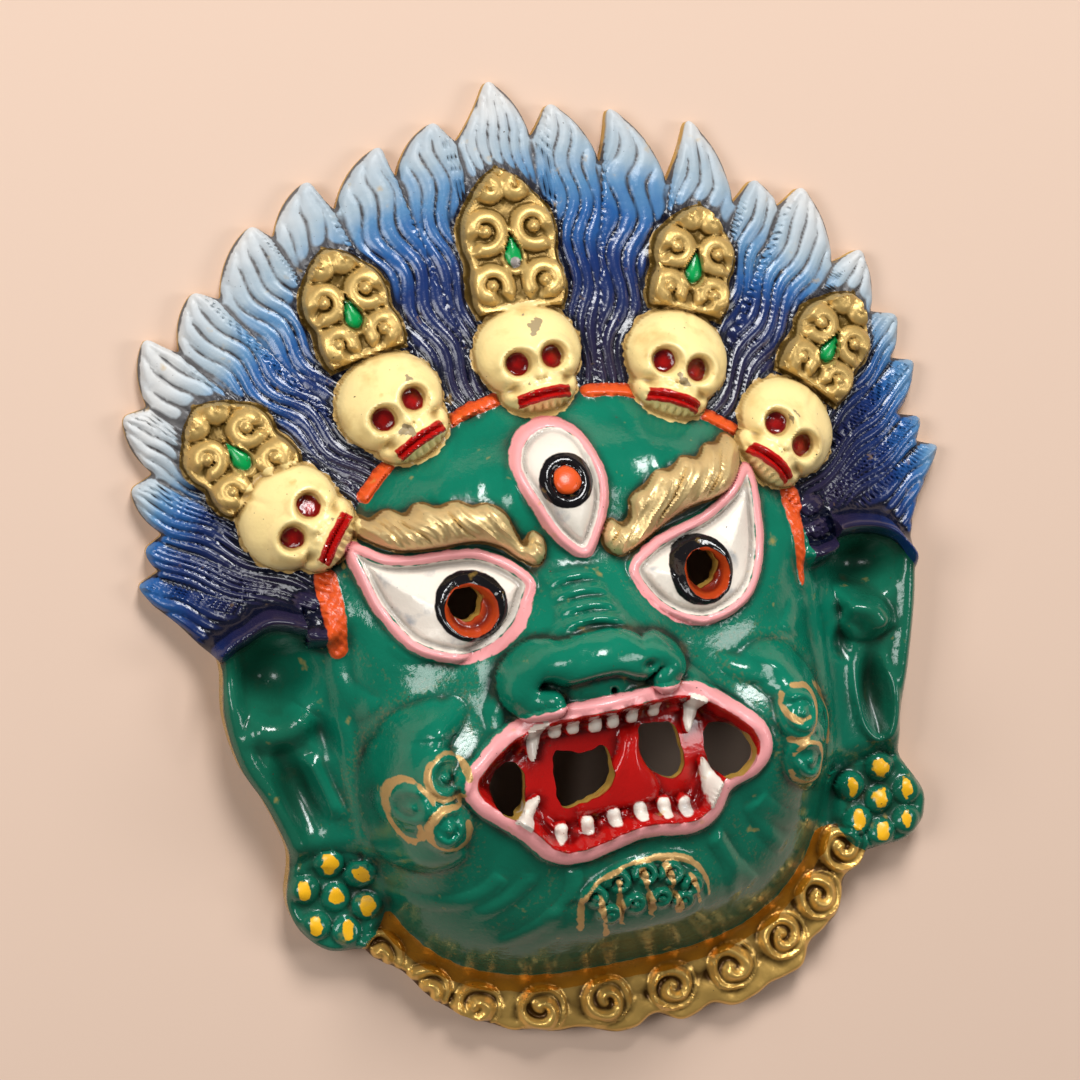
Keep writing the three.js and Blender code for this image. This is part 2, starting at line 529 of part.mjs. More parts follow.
// A height function as triangles: it starts from two and keeps adding the grid point where the
// surface is furthest out, joined to its neighbours so that the triangles stay well shaped.
const fieldCells = 256;
const fieldSize = 204;
const frontPoints = 3460;
const backPoints = 560;
class Relief {
  constructor(height, care) {
    this.size = fieldCells + 1;
    this.at = (i) => (i / fieldCells - 0.5) * fieldSize;
    this.heights = new Float64Array(this.size ** 2);
    this.cares = new Float64Array(this.size ** 2);
    for (let j = 0; j < this.size; j += 1) {
      for (let i = 0; i < this.size; i += 1) {
        this.heights[j * this.size + i] = height(this.at(i), this.at(j));
        this.cares[j * this.size + i] = care(this.at(i), this.at(j));
      }
    }
    this.points = [[0, 0], [fieldCells, 0], [0, fieldCells], [fieldCells, fieldCells]];
    this.corners = [];
    this.twins = [];
    this.worst = [];
    const first = this.place(0, 3, 2, -1, -1, -1);
    this.place(3, 0, 1, first, -1, -1);
  }

  heightAt(n) {
    const [i, j] = this.points[n];
    return this.heights[j * this.size + i];
  }

  place(a, b, c, ab, bc, ca, e = this.corners.length) {
    [this.corners[e], this.corners[e + 1], this.corners[e + 2]] = [a, b, c];
    [ab, bc, ca].forEach((twin, k) => {
      this.twins[e + k] = twin;
      if (twin >= 0) this.twins[twin] = e + k;
    });
    this.worst[e / 3] = this.furthest(a, b, c);
    return e;
  }

  // The grid point inside a triangle that is furthest from its plane.
  furthest(a, b, c) {
    const [[ax, ay], [bx, by], [cx, cy]] = [this.points[a], this.points[b], this.points[c]];
    const area = (bx - ax) * (cy - ay) - (by - ay) * (cx - ax);
    const [ha, hb, hc] = [this.heightAt(a), this.heightAt(b), this.heightAt(c)];
    let best = { error: 0, x: ax, y: ay };
    for (let y = Math.min(ay, by, cy); y <= Math.max(ay, by, cy); y += 1) {
      for (let x = Math.min(ax, bx, cx); x <= Math.max(ax, bx, cx); x += 1) {
        const wa = ((bx - x) * (cy - y) - (by - y) * (cx - x)) / area;
        const wb = ((cx - x) * (ay - y) - (cy - y) * (ax - x)) / area;
        const wc = 1 - wa - wb;
        if (wa < -1e-9 || wb < -1e-9 || wc < -1e-9) continue;
        const slot = y * this.size + x;
        const error = Math.abs(wa * ha + wb * hb + wc * hc - this.heights[slot]) * this.cares[slot];
        if (error > best.error) best = { error, x, y };
      }
    }
    return best;
  }

  // Swaps the shared edge of two triangles when that makes them better shaped.
  settle(a) {
    const b = this.twins[a];
    if (b < 0) return;
    const a0 = a - (a % 3);
    const b0 = b - (b % 3);
    const [al, ar] = [a0 + ((a + 1) % 3), a0 + ((a + 2) % 3)];
    const [bl, br] = [b0 + ((b + 2) % 3), b0 + ((b + 1) % 3)];
    const [p0, pr, pl, p1] = [this.corners[ar], this.corners[a], this.corners[al], this.corners[bl]];
    const [px, py] = this.points[p1];
    const from = (n) => [this.points[n][0] - px, this.points[n][1] - py];
    const [[dx, dy], [ex, ey], [fx, fy]] = [p0, pr, pl].map(from);
    const [dd, ee, ff] = [dx * dx + dy * dy, ex * ex + ey * ey, fx * fx + fy * fy];
    if (dx * (ey * ff - ee * fy) - dy * (ex * ff - ee * fx) + dd * (ex * fy - ey * fx) <= 0) return;
    const [hal, har, hbl, hbr] = [this.twins[al], this.twins[ar], this.twins[bl], this.twins[br]];
    const t0 = this.place(p0, p1, pl, -1, hbl, hal, a0);
    const t1 = this.place(p1, p0, pr, t0, har, hbr, b0);
    this.settle(t0 + 1);
    this.settle(t1 + 2);
  }

  // Puts a new point on the edge a and splits the triangles on both sides of it.
  splitEdge(n, a) {
    const a0 = a - (a % 3);
    const [al, ar] = [a0 + ((a + 1) % 3), a0 + ((a + 2) % 3)];
    const [p0, pr, pl] = [this.corners[ar], this.corners[a], this.corners[al]];
    const [hal, har, b] = [this.twins[al], this.twins[ar], this.twins[a]];
    if (b < 0) {
      const t0 = this.place(n, p0, pr, -1, har, -1, a0);
      const t1 = this.place(p0, n, pl, t0, -1, hal);
      this.settle(t0 + 1);
      this.settle(t1 + 2);
      return;
    }
    const b0 = b - (b % 3);
    const [bl, br] = [b0 + ((b + 2) % 3), b0 + ((b + 1) % 3)];
    const [p1, hbl, hbr] = [this.corners[bl], this.twins[bl], this.twins[br]];
    const t0 = this.place(p0, pr, n, har, -1, -1, a0);
    const t1 = this.place(pr, p1, n, hbr, -1, t0 + 1, b0);
    const t2 = this.place(p1, pl, n, hbl, -1, t1 + 1);
    const t3 = this.place(pl, p0, n, hal, t0 + 2, t2 + 1);
    for (const edge of [t0, t1, t2, t3]) this.settle(edge);
  }

  addWorst() {
    let t = 0;
    for (let k = 1; k < this.worst.length; k += 1) if (this.worst[k].error > this.worst[t].error) t = k;
    const { x, y } = this.worst[t];
    const n = this.points.push([x, y]) - 1;
    const e = 3 * t;
    const ids = [0, 1, 2].map((k) => this.corners[e + k]);
    for (let k = 0; k < 3; k += 1) {
      const [ax, ay] = this.points[ids[k]];
      const [bx, by] = this.points[ids[(k + 1) % 3]];
      if ((bx - ax) * (y - ay) === (by - ay) * (x - ax)) {
        this.splitEdge(n, e + k);
        return;
      }
    }
    const [h0, h1, h2] = [this.twins[e], this.twins[e + 1], this.twins[e + 2]];
    const t0 = this.place(ids[0], ids[1], n, h0, -1, -1, e);
    const t1 = this.place(ids[1], ids[2], n, h1, -1, t0 + 1);
    const t2 = this.place(ids[2], ids[0], n, h2, t0 + 2, t1 + 1);
    for (const edge of [t0, t1, t2]) this.settle(edge);
  }
}

function reliefBlock(height, care, floor, count) {
  const relief = new Relief(height, care);
  while (relief.points.length < count) relief.addWorst();
  const positions = relief.points.flatMap(([i, j], n) => [relief.at(i), relief.at(j), relief.heightAt(n)]);
  const faces = [];
  for (let e = 0; e < relief.corners.length; e += 3) faces.push(relief.corners.slice(e, e + 3));
  return closeBlock(positions, faces, floor);
}

// Adds the side walls and the floor below the open edges of a top surface.
function closeBlock(positions, faces, floor) {
  const edges = new Map();
  for (const [a, b, c] of faces) {
    for (const [from, to] of [[a, b], [b, c], [c, a]]) {
      if (!edges.delete(`${to},${from}`)) edges.set(`${from},${to}`, [from, to]);
    }
  }
  const below = new Map();
  const drop = (i) => {
    if (!below.has(i)) {
      below.set(i, positions.length / 3);
      positions.push(positions[3 * i], positions[3 * i + 1], floor);
    }
    return below.get(i);
  };
  const hub = positions.length / 3;
  positions.push(0, 0, floor);
  for (const [from, to] of edges.values()) {
    const [low, next] = [drop(from), drop(to)];
    faces.push([to, from, low], [to, low, next], [next, low, hub]);
  }
  return new wasm.Manifold(new wasm.Mesh({
    numProp: 3, vertProperties: Float32Array.from(positions), triVerts: Uint32Array.from(faces.flat()),
  }));
}

// A closed three.js geometry as a solid.
function solidOf(geometry) {
  geometry.deleteAttribute('normal');
  geometry.deleteAttribute('uv');
  const merged = mergeVertices(geometry, 1e-4);
  return new wasm.Manifold(new wasm.Mesh({
    numProp: 3,
    vertProperties: Float32Array.from(merged.attributes.position.array),
    triVerts: Uint32Array.from(merged.index.array),
  }));
}

function prism(points, low, high) {
  const shape = new THREE.Shape(points.map(([x, y]) => new THREE.Vector2(x, y)));
  const block = new THREE.ExtrudeGeometry(shape, { depth: high - low, bevelEnabled: false });
  return solidOf(block.translate(0, 0, low));
}

function disc(x, y, radius, low, high, sides) {
  const points = [];
  for (let i = 0; i < sides; i += 1) {
    const angle = ((i + 0.5) / sides) * 2 * Math.PI;
    points.push([x + radius * Math.cos(angle), y + radius * Math.sin(angle)]);
  }
  return prism(points, low, high);
}

// A small cast eye behind the forehead, to hang the mask by. It stays within the hollow.
function hangingLug() {
  const half = lug.thickness / 2;
  const side = lug.radius;
  const stem = prism([[-side, -1], [side, -1], [side, lug.stem], [-side, lug.stem]], -half, half);
  const plate = disc(0, 0, lug.radius, -half, half, 16).add(stem);
  const eye = plate.subtract(disc(0, 0, lug.bore / 2, -lug.thickness, lug.thickness, 12));
  return eye.rotate([90, 0, 90]).translate([lug.x, lug.y, lug.height]);
}

const wasm = await Module();
wasm.setup();

function maskSolid() {
  const block = reliefBlock(frontHeight, careAt, -2, frontPoints);
  let solid = block.intersect(prism([...outlinePoints].reverse(), -3, 70));
  solid = solid.subtract(reliefBlock(backHeight, careAt, -4, backPoints)).add(hangingLug());
  for (const { iris } of eyes) solid = solid.subtract(disc(iris[0], iris[1], eyeHoleRadius, -3, 70, 14));
  for (const hole of mouthHoles) solid = solid.subtract(prism([...hole].reverse(), -3, 70));
  return solid;
}

function geometryOf(solid) {
  const mesh = solid.getMesh();
  const geometry = new THREE.BufferGeometry();
  geometry.setAttribute('position', new THREE.BufferAttribute(Float32Array.from(mesh.vertProperties), 3));
  geometry.setIndex(Array.from(mesh.triVerts));
  geometry.computeVertexNormals();
  return geometry;
}

const paintedCasting = new THREE.MeshStandardMaterial({ color: 0x0f7355, roughness: 0.3, metalness: 0.1 });
const mask = new THREE.Mesh(geometryOf(maskSolid()), paintedCasting);
mask.name = 'mask';

// The middle of the outline is the origin.
mask.geometry.computeBoundingBox();
const { min, max } = mask.geometry.boundingBox;
mask.geometry.translate(-(min.x + max.x) / 2, -(min.y + max.y) / 2, 0);

const root = new THREE.Group();
root.add(mask);
export default root;
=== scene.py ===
import math
import bpy
import numpy as np
from mathutils import Matrix, Vector
from mathutils.geometry import delaunay_2d_cdt


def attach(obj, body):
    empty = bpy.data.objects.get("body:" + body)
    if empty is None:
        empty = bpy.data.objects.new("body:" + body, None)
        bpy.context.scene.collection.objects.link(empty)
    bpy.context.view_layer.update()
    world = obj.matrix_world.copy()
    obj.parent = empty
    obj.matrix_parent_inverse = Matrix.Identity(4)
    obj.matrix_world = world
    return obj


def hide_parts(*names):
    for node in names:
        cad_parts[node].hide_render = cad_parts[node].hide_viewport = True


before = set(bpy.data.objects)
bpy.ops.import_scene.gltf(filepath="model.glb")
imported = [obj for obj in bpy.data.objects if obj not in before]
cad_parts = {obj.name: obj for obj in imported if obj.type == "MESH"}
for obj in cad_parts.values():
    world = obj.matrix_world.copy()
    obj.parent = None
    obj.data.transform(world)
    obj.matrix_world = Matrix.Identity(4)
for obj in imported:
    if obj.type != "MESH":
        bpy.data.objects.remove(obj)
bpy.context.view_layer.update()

# The drawing is in millimetres. Its zero lies a little off the middle of the outline.
mm = 0.001
drawingMiddle = (0.35, -0.05)

shell = {
    "wall": 2.7, "backClearance": 0.5, "rim": 4.2, "headband": 17.0, "jawFoot": 7.0, "earPlate": 8.4,
    "face": 30.0, "belly": 6.0, "rimWidth": 2.6, "edgeRound": 1.3,
}
crown = {"y": 5, "halfWidth": 84, "rise": 90}
headband = {"y": -6, "halfWidth": 51, "rise": 41}
face = {"y": -22, "halfWidth": 51, "up": 57.5, "down": 61, "upPower": 2.4, "downPower": 3}


# Small helpers for smooth heights over the drawing.
def ease(low, high, value):
    t = np.clip((value - low) / (high - low), 0, 1)
    return t * t * (3 - 2 * t)


def dome(reach):
    return np.sqrt(np.maximum(0, 1 - reach * reach))


def swell(reach):
    return np.maximum(0, 1 - reach * reach) ** 2


def oval(x, y, cx, cy, rx, ry):
    return np.hypot((x - cx) / rx, (y - cy) / ry)


def lean(x, y, cx, cy, turn):
    c, s = math.cos(math.radians(turn)), math.sin(math.radians(turn))
    return (x - cx) * c + (y - cy) * s, -(x - cx) * s + (y - cy) * c


# A smooth curve through a few points, as short straight steps.
def curve(points, closed=False, steps=6):
    p = np.array(points, float)
    count = len(p)
    rows = []
    for i in range(count if closed else count - 1):
        near = [i + k for k in (-1, 0, 1, 2)]
        a, b, c, d = [p[k % count] if closed else p[min(max(k, 0), count - 1)] for k in near]
        for t in np.linspace(0, 1, steps, endpoint=False):
            rows.append(0.5 * (2 * b + (c - a) * t + (2 * a - 5 * b + 4 * c - d) * t ** 2
                               + (3 * b - a - 3 * c + d) * t ** 3))
    rows.append(p[0] if closed else p[-1])
    return np.array(rows)


# Distance from each point to a path, negative inside a closed one, and the place along it from 0 to 1.
def nearest(path, x, y, reach, closed=False):
    d = np.full(x.shape, float(reach))
    t = np.zeros(x.shape)
    low, high = path.min(0) - reach, path.max(0) + reach
    near = np.where((x > low[0]) & (x < high[0]) & (y > low[1]) & (y < high[1]))[0]
    if len(near) == 0:
        return d, t
    px, py = x[near], y[near]
    best = np.full(px.shape, 1e9)
    at = np.zeros(px.shape)
    inside = np.zeros(px.shape, bool)
    for i in range(len(path) - 1):
        (ax, ay), (bx, by) = path[i], path[i + 1]
        ux, uy = bx - ax, by - ay
        length = ux * ux + uy * uy
        if length < 1e-12:
            continue
        s = np.clip(((px - ax) * ux + (py - ay) * uy) / length, 0, 1)
        gap = (px - ax - s * ux) ** 2 + (py - ay - s * uy) ** 2
        closer = gap < best
        best[closer] = gap[closer]
        at[closer] = (i + s[closer]) / (len(path) - 1)
        if closed and ay != by:
            inside ^= ((ay > py) != (by > py)) & (px < ax + (py - ay) / (by - ay) * ux)
    best = np.sqrt(best)
    d[near] = np.where(inside, -best, best) if closed else best
    t[near] = at
    return d, t


def loopDistance(points, x, y, reach):
    return nearest(curve(points, True), x, y, reach, True)[0]


def lineDistance(points, x, y, reach):
    return nearest(curve(points), x, y, reach)[0]


def away(x, y, place):
    return np.hypot(x - place[0], y - place[1])


# Smooth pseudo-random waves, the same on every run.
def ripple(x, y, size, seed):
    rng = np.random.default_rng(seed)
    total = np.zeros(x.shape)
    for k in range(7):
        angle, phase = rng.uniform(0, math.tau, 2)
        reach = math.tau / (size * rng.uniform(0.7, 1.5))
        total += np.sin((x * math.cos(angle) + y * math.sin(angle)) * reach + phase)
    return total / 3.5


# The foot of the face: how far a point lies inside it, in millimetres.
def faceReach(x, y):
    up = y > face["y"]
    power = np.where(up, face["upPower"], face["downPower"])
    along = np.abs(y - face["y"]) / np.where(up, face["up"], face["down"])
    return ((np.abs(x) / face["halfWidth"]) ** power + along ** power) ** (1 / power)


def faceInset(x, y):
    reach = np.maximum(faceReach(x, y), 0.02)
    return np.minimum(face["halfWidth"], np.hypot(x, y - face["y"]) * (1 / reach - 1))


# Runs from 0 at the headband to 1 at the tips of the flames.
def crownShare(x, y):
    inner = np.maximum(oval(x, y, 0, headband["y"], headband["halfWidth"], headband["rise"]), 0.2)
    outer = np.maximum(oval(x, y, 0, crown["y"], crown["halfWidth"], crown["rise"]), 0.2)
    fromBand = np.maximum(0, (1 - 1 / inner) * np.hypot(x, y - headband["y"]))
    fromRim = np.maximum(0, (1 / outer - 1) * np.hypot(x, y - crown["y"]))
    return fromBand / (fromBand + fromRim + 0.001)


def crownHeight(x, y):
    return shell["rim"] + (shell["headband"] - shell["rim"]) * (1 - crownShare(x, y)) ** 1.25


# The outline: flames over the crown, ears and bead clusters at the sides, the scroll band below.
outlineSpec = {
    "tips": [
        (-83.5, 9.4), (-80.8, 16.5), (-81.6, 28.5), (-80.8, 42.9), (-74, 57.4), (-63.1, 64.9), (-49.6, 76.1),
        (-37.2, 83.2), (-21.9, 87.9), (-10.5, 91.1), (1.1, 97.9), (12.8, 91.7), (24.7, 89.1), (40.8, 84.6),
        (52.6, 70.6), (62.5, 67.8), (73.2, 53.4), (79, 38.9), (81.4, 28.9), (80.8, 17.3), (84.2, 10.6)],
    "notches": [
        (-79.3, 11.6), (-77.3, 18.6), (-77.3, 30.8), (-76.3, 44), (-68.3, 53.7), (-58.6, 62.9), (-46.2, 73.3),
        (-33.2, 77), (-20, 81.7), (-6.9, 87), (8.3, 85.9), (21.5, 78.6), (34.7, 72.8), (48, 66.6),
        (57.5, 64.6), (67.3, 51.6), (74.2, 40.4), (77, 30.2), (76.2, 18.6), (79.6, 12.4)],
    "right": [
        (82, 6), (78.6, 1), (75.6, -5), (74, -12.1), (72.4, -20.8), (69.2, -33.2), (66.2, -42.5),
        (65.4, -49.8),
        (67, -54.6), (69.9, -59.8), (69.4, -65.6), (65.6, -69), (60, -69.8), (56, -70.4)],
    "band": [
        (54.3, -73.2), (51, -74.8), (49.6, -78.6), (47.9, -82.6), (44.4, -85.2), (41, -87.4), (40.2, -90),
        (38.4, -92.2), (35, -93.4), (31, -94.6), (27.4, -96.4), (23.4, -97.4), (19.8, -96.2), (17.6, -96.4),
        (14.8, -97.8), (11.8, -98), (8.4, -96.6), (6, -96), (2.4, -97.6), (-2.1, -98), (-5.6, -96.8),
        (-8.4, -95.6), (-14, -95.4), (-19, -94), (-23.6, -93.2), (-27.8, -91), (-32, -88.8), (-36.3, -85.8),
        (-40.2, -82), (-43.5, -77.4), (-46.8, -74.6), (-49.6, -72.6), (-51.4, -70)],
    "left": [
        (-54, -70.4), (-58.5, -69.4), (-63.4, -64.4), (-65, -58), (-63.4, -51.5), (-63.4, -46.9),
        (-66.4, -37.4),
        (-70.1, -29.3), (-71.6, -19), (-70.6, -8.7), (-74, -4), (-77.8, 1), (-81.6, 5)],
    "fullSide": 0.23, "hollowSide": -0.08, "tipReach": 0.9, "tipBlunt": 3.2, "step": 0.5,
}


def bent(start, end, bulge, steps=9):
    start, end = np.array(start), np.array(end)
    dx, dy = end - start
    bend = (start + end) / 2 + np.array([-dy, dx]) * bulge
    t = np.linspace(0, 1, steps)[:, None]
    return (1 - t) ** 2 * start + 2 * t * (1 - t) * bend + t ** 2 * end


def roundCorners(path, passes):
    for _ in range(passes):
        path = (np.roll(path, 1, 0) + 2 * path + np.roll(path, -1, 0)) / 4
    return path


def evenSteps(path, step):
    path = np.vstack([path, path[:1]])
    run = np.concatenate([[0], np.cumsum(np.hypot(*np.diff(path, axis=0).T))])
    places = np.linspace(0, run[-1], int(run[-1] / step), endpoint=False)
    return np.c_[np.interp(places, run, path[:, 0]), np.interp(places, run, path[:, 1])]


def outlinePath():
    spec = outlineSpec
    rows = []
    for i, tip in enumerate(spec["tips"]):
        full = 1 if tip[0] < 0 else -1
        outward = np.array(tip) - (0, headband["y"])
        tip = tuple(np.array(tip) + outward / np.hypot(*outward) * spec["tipReach"])
        if i > 0:
            rows.append(bent(spec["notches"][i - 1], tip, spec["fullSide" if full > 0 else "hollowSide"]))
        if i < len(spec["notches"]):
            rows.append(bent(tip, spec["notches"][i], spec["fullSide" if full < 0 else "hollowSide"]))
    for side in ("right", "band", "left"):
        rows.append(curve(spec[side]))
    path = roundCorners(evenSteps(np.vstack(rows), spec["step"]), 2)
    blunt = roundCorners(path, 12)
    tips = np.array(spec["tips"])
    gap = np.hypot(path[:, :1] - tips[:, 0], path[:, 1:] - tips[:, 1]).min(1)
    near = ease(spec["tipBlunt"] * 1.6, spec["tipBlunt"] * 0.6, gap)[:, None]
    return path * (1 - near) + blunt * near


outline = outlinePath()
outlineLoop = np.vstack([outline, outline[:1]])

# Hair: strands that run in long waves from the headband out and meet at the flame tips.
hair = {"spacing": 0.021, "depth": 0.8, "sway": 0.42, "swayLength": 17, "lean": 0.1, "lick": 1.0,
        "line": [(-78, -16), (-70.6, -8.1), (-65.5, -5.3), (-60.1, -3), (-53.9, -5), (-50.7, -7.9), (0, -9),
                 (51.1, -8.4), (55.4, -4.1), (61.6, -3.8), (69.2, -6.4), (73.1, -12.1), (80, -20)]}
hairLine = curve(hair["line"])


def aboveHairLine(x, y):
    return y - np.interp(x, hairLine[:, 0], hairLine[:, 1])


def polar(points):
    p = np.array(points, float)
    return np.arctan2(p[:, 0], p[:, 1] - headband["y"]), np.hypot(p[:, 0], p[:, 1] - headband["y"])


tipAngle, tipRadius = polar([(-84, -20)] + outlineSpec["tips"] + [(84, -20)])
notchAngle, notchRadius = polar([(-78, -4)] + outlineSpec["notches"] + [(78, -4)])
knotAngle = np.empty(len(tipAngle) + len(notchAngle))
knotAngle[0::2], knotAngle[1::2] = tipAngle, notchAngle
lockWidth = np.diff(np.r_[tipAngle[0], notchAngle, tipAngle[-1]])
# An odd count for every lock, so that a groove runs along each boundary.
strandCount = np.maximum(3, 2 * np.round((lockWidth / hair["spacing"] - 1) / 2) + 1)


def hairRelief(x, y):
    angle = np.arctan2(x, y - headband["y"])
    radius = np.hypot(x, y - headband["y"])
    share = crownShare(x, y)
    number = np.interp(angle * (1 - hair["lean"] * (1 - share)), knotAngle, np.arange(len(knotAngle)) / 2)
    lock = np.round(number)
    tip = tipRadius[lock.astype(int)]
    notch = np.interp(number, np.arange(len(notchRadius)) + 0.5, notchRadius)
    narrow = np.clip((tip + 1.5 - radius) / np.maximum(tip - notch, 2), 0.25, 1)
    across = np.clip((number - lock) / narrow, -0.5, 0.5)
    gathered = np.clip((number - lock) / np.sqrt(narrow), -0.5, 0.5)
    wave = np.sin(math.tau * (radius / hair["swayLength"] + 0.17 * number))
    sway = hair["sway"] * wave * ease(1.05, 0.7, share) + 0.14 * ripple(x, y, 19, 3)
    strand = np.abs(np.cos(math.pi * (gathered * strandCount[lock.astype(int)] + sway))) ** 0.7
    rise = hair["depth"] * (strand - 0.6) * (0.85 + 0.25 * ripple(x, y, 7, 5)) * ease(0.25, 0.4, narrow)
    seam = (2 * np.abs(across)) ** 8
    rise = rise * (1 - seam) - 0.35 * hair["depth"] * seam
    return rise + hair["lick"] * (0.6 - (2 * across) ** 2) * ease(0.55, 0.95, share)


# The line of the lips, then the large swellings of the face. The front and the hollow back share both.
lipLine = [
    (-29.4, -35.8), (-26, -32), (-16, -25.8), (0, -24.2), (13.2, -24.6), (19.4, -26.8), (27, -33),
    (29.4, -38.4), (26.6, -43), (20.6, -45.4), (17.4, -50.2), (12.6, -52.2), (2.5, -51.1), (-9.3, -53.9),
    (-15.2, -52.8), (-20, -47.6), (-28, -40.4)]
lips = curve(lipLine, closed=True)
mouthDepth = 5.5


swellings = [
    # middle, half widths, rise; the first three are on both sides
    (25, -1, 21, 16, -4.5), (38, -37, 17, 23, 8.5), (24, 18, 24, 13, 4),
    (0, -38, 42, 28, 7.5), (2, -67, 26, 15, 7), (-1.5, 20, 17, 19, 5), (-2.5, -14, 22, 19, 9.5),
]


def faceForms(x, y):
    z = np.zeros(x.shape)
    for k, (cx, cy, wide, tall, rise) in enumerate(swellings):
        z += rise * swell(oval(np.abs(x) if k < 3 else x, y, cx, cy, wide, tall))
    return z


def faceFoot(x, y):
    upward = ease(-10, 12, y)
    return upward * shell["headband"] + (1 - upward) * (shell["jawFoot"] + 4 * ease(-62, -30, y))


def plateHeight(x, y):
    plate = shell["jawFoot"] + (shell["earPlate"] - shell["jawFoot"]) * ease(-58, -46, y)
    return plate + (np.maximum(crownHeight(x, y), shell["rim"]) - plate) * ease(-9, 0, y)


def bodyHeight(x, y):
    inset = faceInset(x, y)
    foot = faceFoot(x, y)
    crest = shell["face"] + shell["belly"] * (1 - np.minimum(1, faceReach(x, y)) ** 2)
    climb = 1 - np.exp(-np.maximum(inset, 0) / (9 + 5 * ease(-10, 12, y)))
    throat = mouthDepth * ease(-1.4, -4, nearest(lips, x, y, 5, True)[0])
    inner = foot + (crest - foot) * climb + faceForms(x, y) * ease(0, 12, inset) - throat
    return np.where(inset > 0, inner, plateHeight(x, y))


# Folds and swellings that show on the front only.
folds = [
    # path, depth, half width
    ([(-14.8, 12), (-14.9, 19.1), (-10.8, 28.8), (-3.9, 32.6), (4.6, 29.4), (9, 20.7), (9.6, 11)], 1.5, 2.0),
    ([(-19.8, 15), (-19.6, 21), (-14.2, 32), (-10, 36)], 1.0, 2.4),
    ([(13.6, 12.6), (13.4, 22), (9, 31), (6, 34)], 1.0, 2.4),
    ([(-9.5, -0.5), (-13.5, -6.5), (-21, -12.5), (-29, -16.5), (-39, -15.5), (-46, -8)], 3.0, 4.0),
    ([(6.5, -1), (10.5, -8), (18, -14.5), (26, -17.2), (35, -14.5), (41, -8)], 3.0, 4.0),
    ([(-19.5, -9.8), (-23.8, -14), (-24.6, -20), (-27.6, -26.4), (-33.6, -31)], 2.2, 2.4),
    ([(11.4, -11.4), (16.4, -14.8), (19.4, -20.4), (26, -27.4), (32.6, -33.4)], 2.2, 2.4),
    ([(-47, -53.6), (-38.3, -56.4), (-31.8, -55.6), (-28, -52.6)], 2.6, 2.6),
    ([(-29.4, -68.4), (-22.4, -65.4), (-16.4, -60.4), (-15.6, -56.5)], 2.2, 2.4),
    ([(21.6, -52.4), (25.6, -59.7), (30.4, -66)], 2.6, 2.6),
    ([(31.4, -46.4), (36.4, -51.5), (44, -54.6)], 2.8, 2.8),
    ([(13.5, -58), (16.3, -63.7), (17.6, -71.5)], 2.0, 2.6),
    ([(-13.5, -77), (-10.8, -70.4), (-12, -63)], 1.6, 2.6),
]
cheekBalls = [
    [(-27, -19.4), (-33, -17), (-42.1, -22.1), (-48.5, -31.5), (-49.6, -42.7), (-46.3, -51.4), (-39.9, -54.8),
     (-32, -52), (-30.4, -44), (-33.5, -35), (-28.5, -27)],
    [(24.4, -19.4), (31, -17.6), (37.8, -20), (41.8, -23.4), (45.7, -28.6), (48, -35.6), (48.6, -42.5),
     (46.4, -49.6), (40, -53.2), (33.4, -48.6), (32.6, -40), (31.4, -31)],
]


def foldRelief(x, y):
    z = np.zeros(x.shape)
    for line, depth, half in folds:
        d, t = nearest(curve(line), x, y, half * 2.4)
        fade = np.minimum(1, np.minimum(t, 1 - t) * 8)
        crease = depth * np.maximum(0, 1 - d / (1.3 * half)) ** 1.7
        z = z - (crease - 0.3 * depth * swell((d - 1.8 * half) / half)) * fade
    for ball in cheekBalls:
        d = loopDistance(ball, x, y, 5)
        outward = ease(26, 36, np.abs(x))
        z = z + outward * (4.2 * ease(0.8, -6, d) - 2.0 * np.maximum(0, 1 - np.abs(d - 0.9) / 2.4) ** 1.6)
    return z


# Five skulls on the headband, each with a leaf-shaped ornament behind it. turn is the lean from upright,
# leaf holds the foot of the ornament, its own turn, its length and its width.
skulls = [
    {"x": -51.9, "y": 18.0, "turn": 55, "leaf": (-56.4, 24.4, 31, 21.5, 20), "smudges": [(3, -5, 0.6)]},
    {"x": -29.4, "y": 36.8, "turn": 26, "leaf": (-32.4, 47.0, 12, 23.4, 17.8),
     "smudges": [(-1, -4.4, 0.9), (5, 4, 0.3)]},
    {"x": -1.0, "y": 42.2, "turn": 4, "leaf": (-0.8, 51.5, -1, 29.4, 20),
     "smudges": [(1.6, 6.4, 1.5), (-3, -5, 0.6)]},
    {"x": 28.4, "y": 36.6, "turn": -24, "leaf": (32.7, 46.2, -20, 22.6, 17.6), "smudges": [(0.4, -3.4, 0.7)]},
    {"x": 48.6, "y": 19.4, "turn": -48, "leaf": (56.0, 27.4, -40, 22.6, 17.2), "smudges": [(-2, 2.4, 0.5)]},
]


skullSpec = {
    # ovals: middle and half widths
    "cranium": (0, 1.4, 10.8, 9.6), "jaw": (0, -5.9, 8, 5.4), "craniumRise": 8.8, "jawRise": 7.8,
    "nose": (0, -3.3, 1.7, 1.7), "socket": (3.5, -0.3),
    # on both sides: middle, half widths, rise
    "cheek": (7, -3, 2.6, 2.4, 1.2), "cheekHollow": (5.4, -5.4, 2.2, 1.8, -1.3),
    "nostril": (0.6, -3.9, 0.5, 0.5, -0.6), "wing": (1.9, -4.4, 1.2, 0.8, 0.5),
    "mouthLine": -7.0, "teethLine": -9.3, "toothPitch": 1.55, "paintEdge": {"cranium": 0.4, "jaw": 0.5},
}


# Lines across the jaw droop a little towards their ends.
def jawLine(u, v, height):
    return v - height + 0.025 * u * u


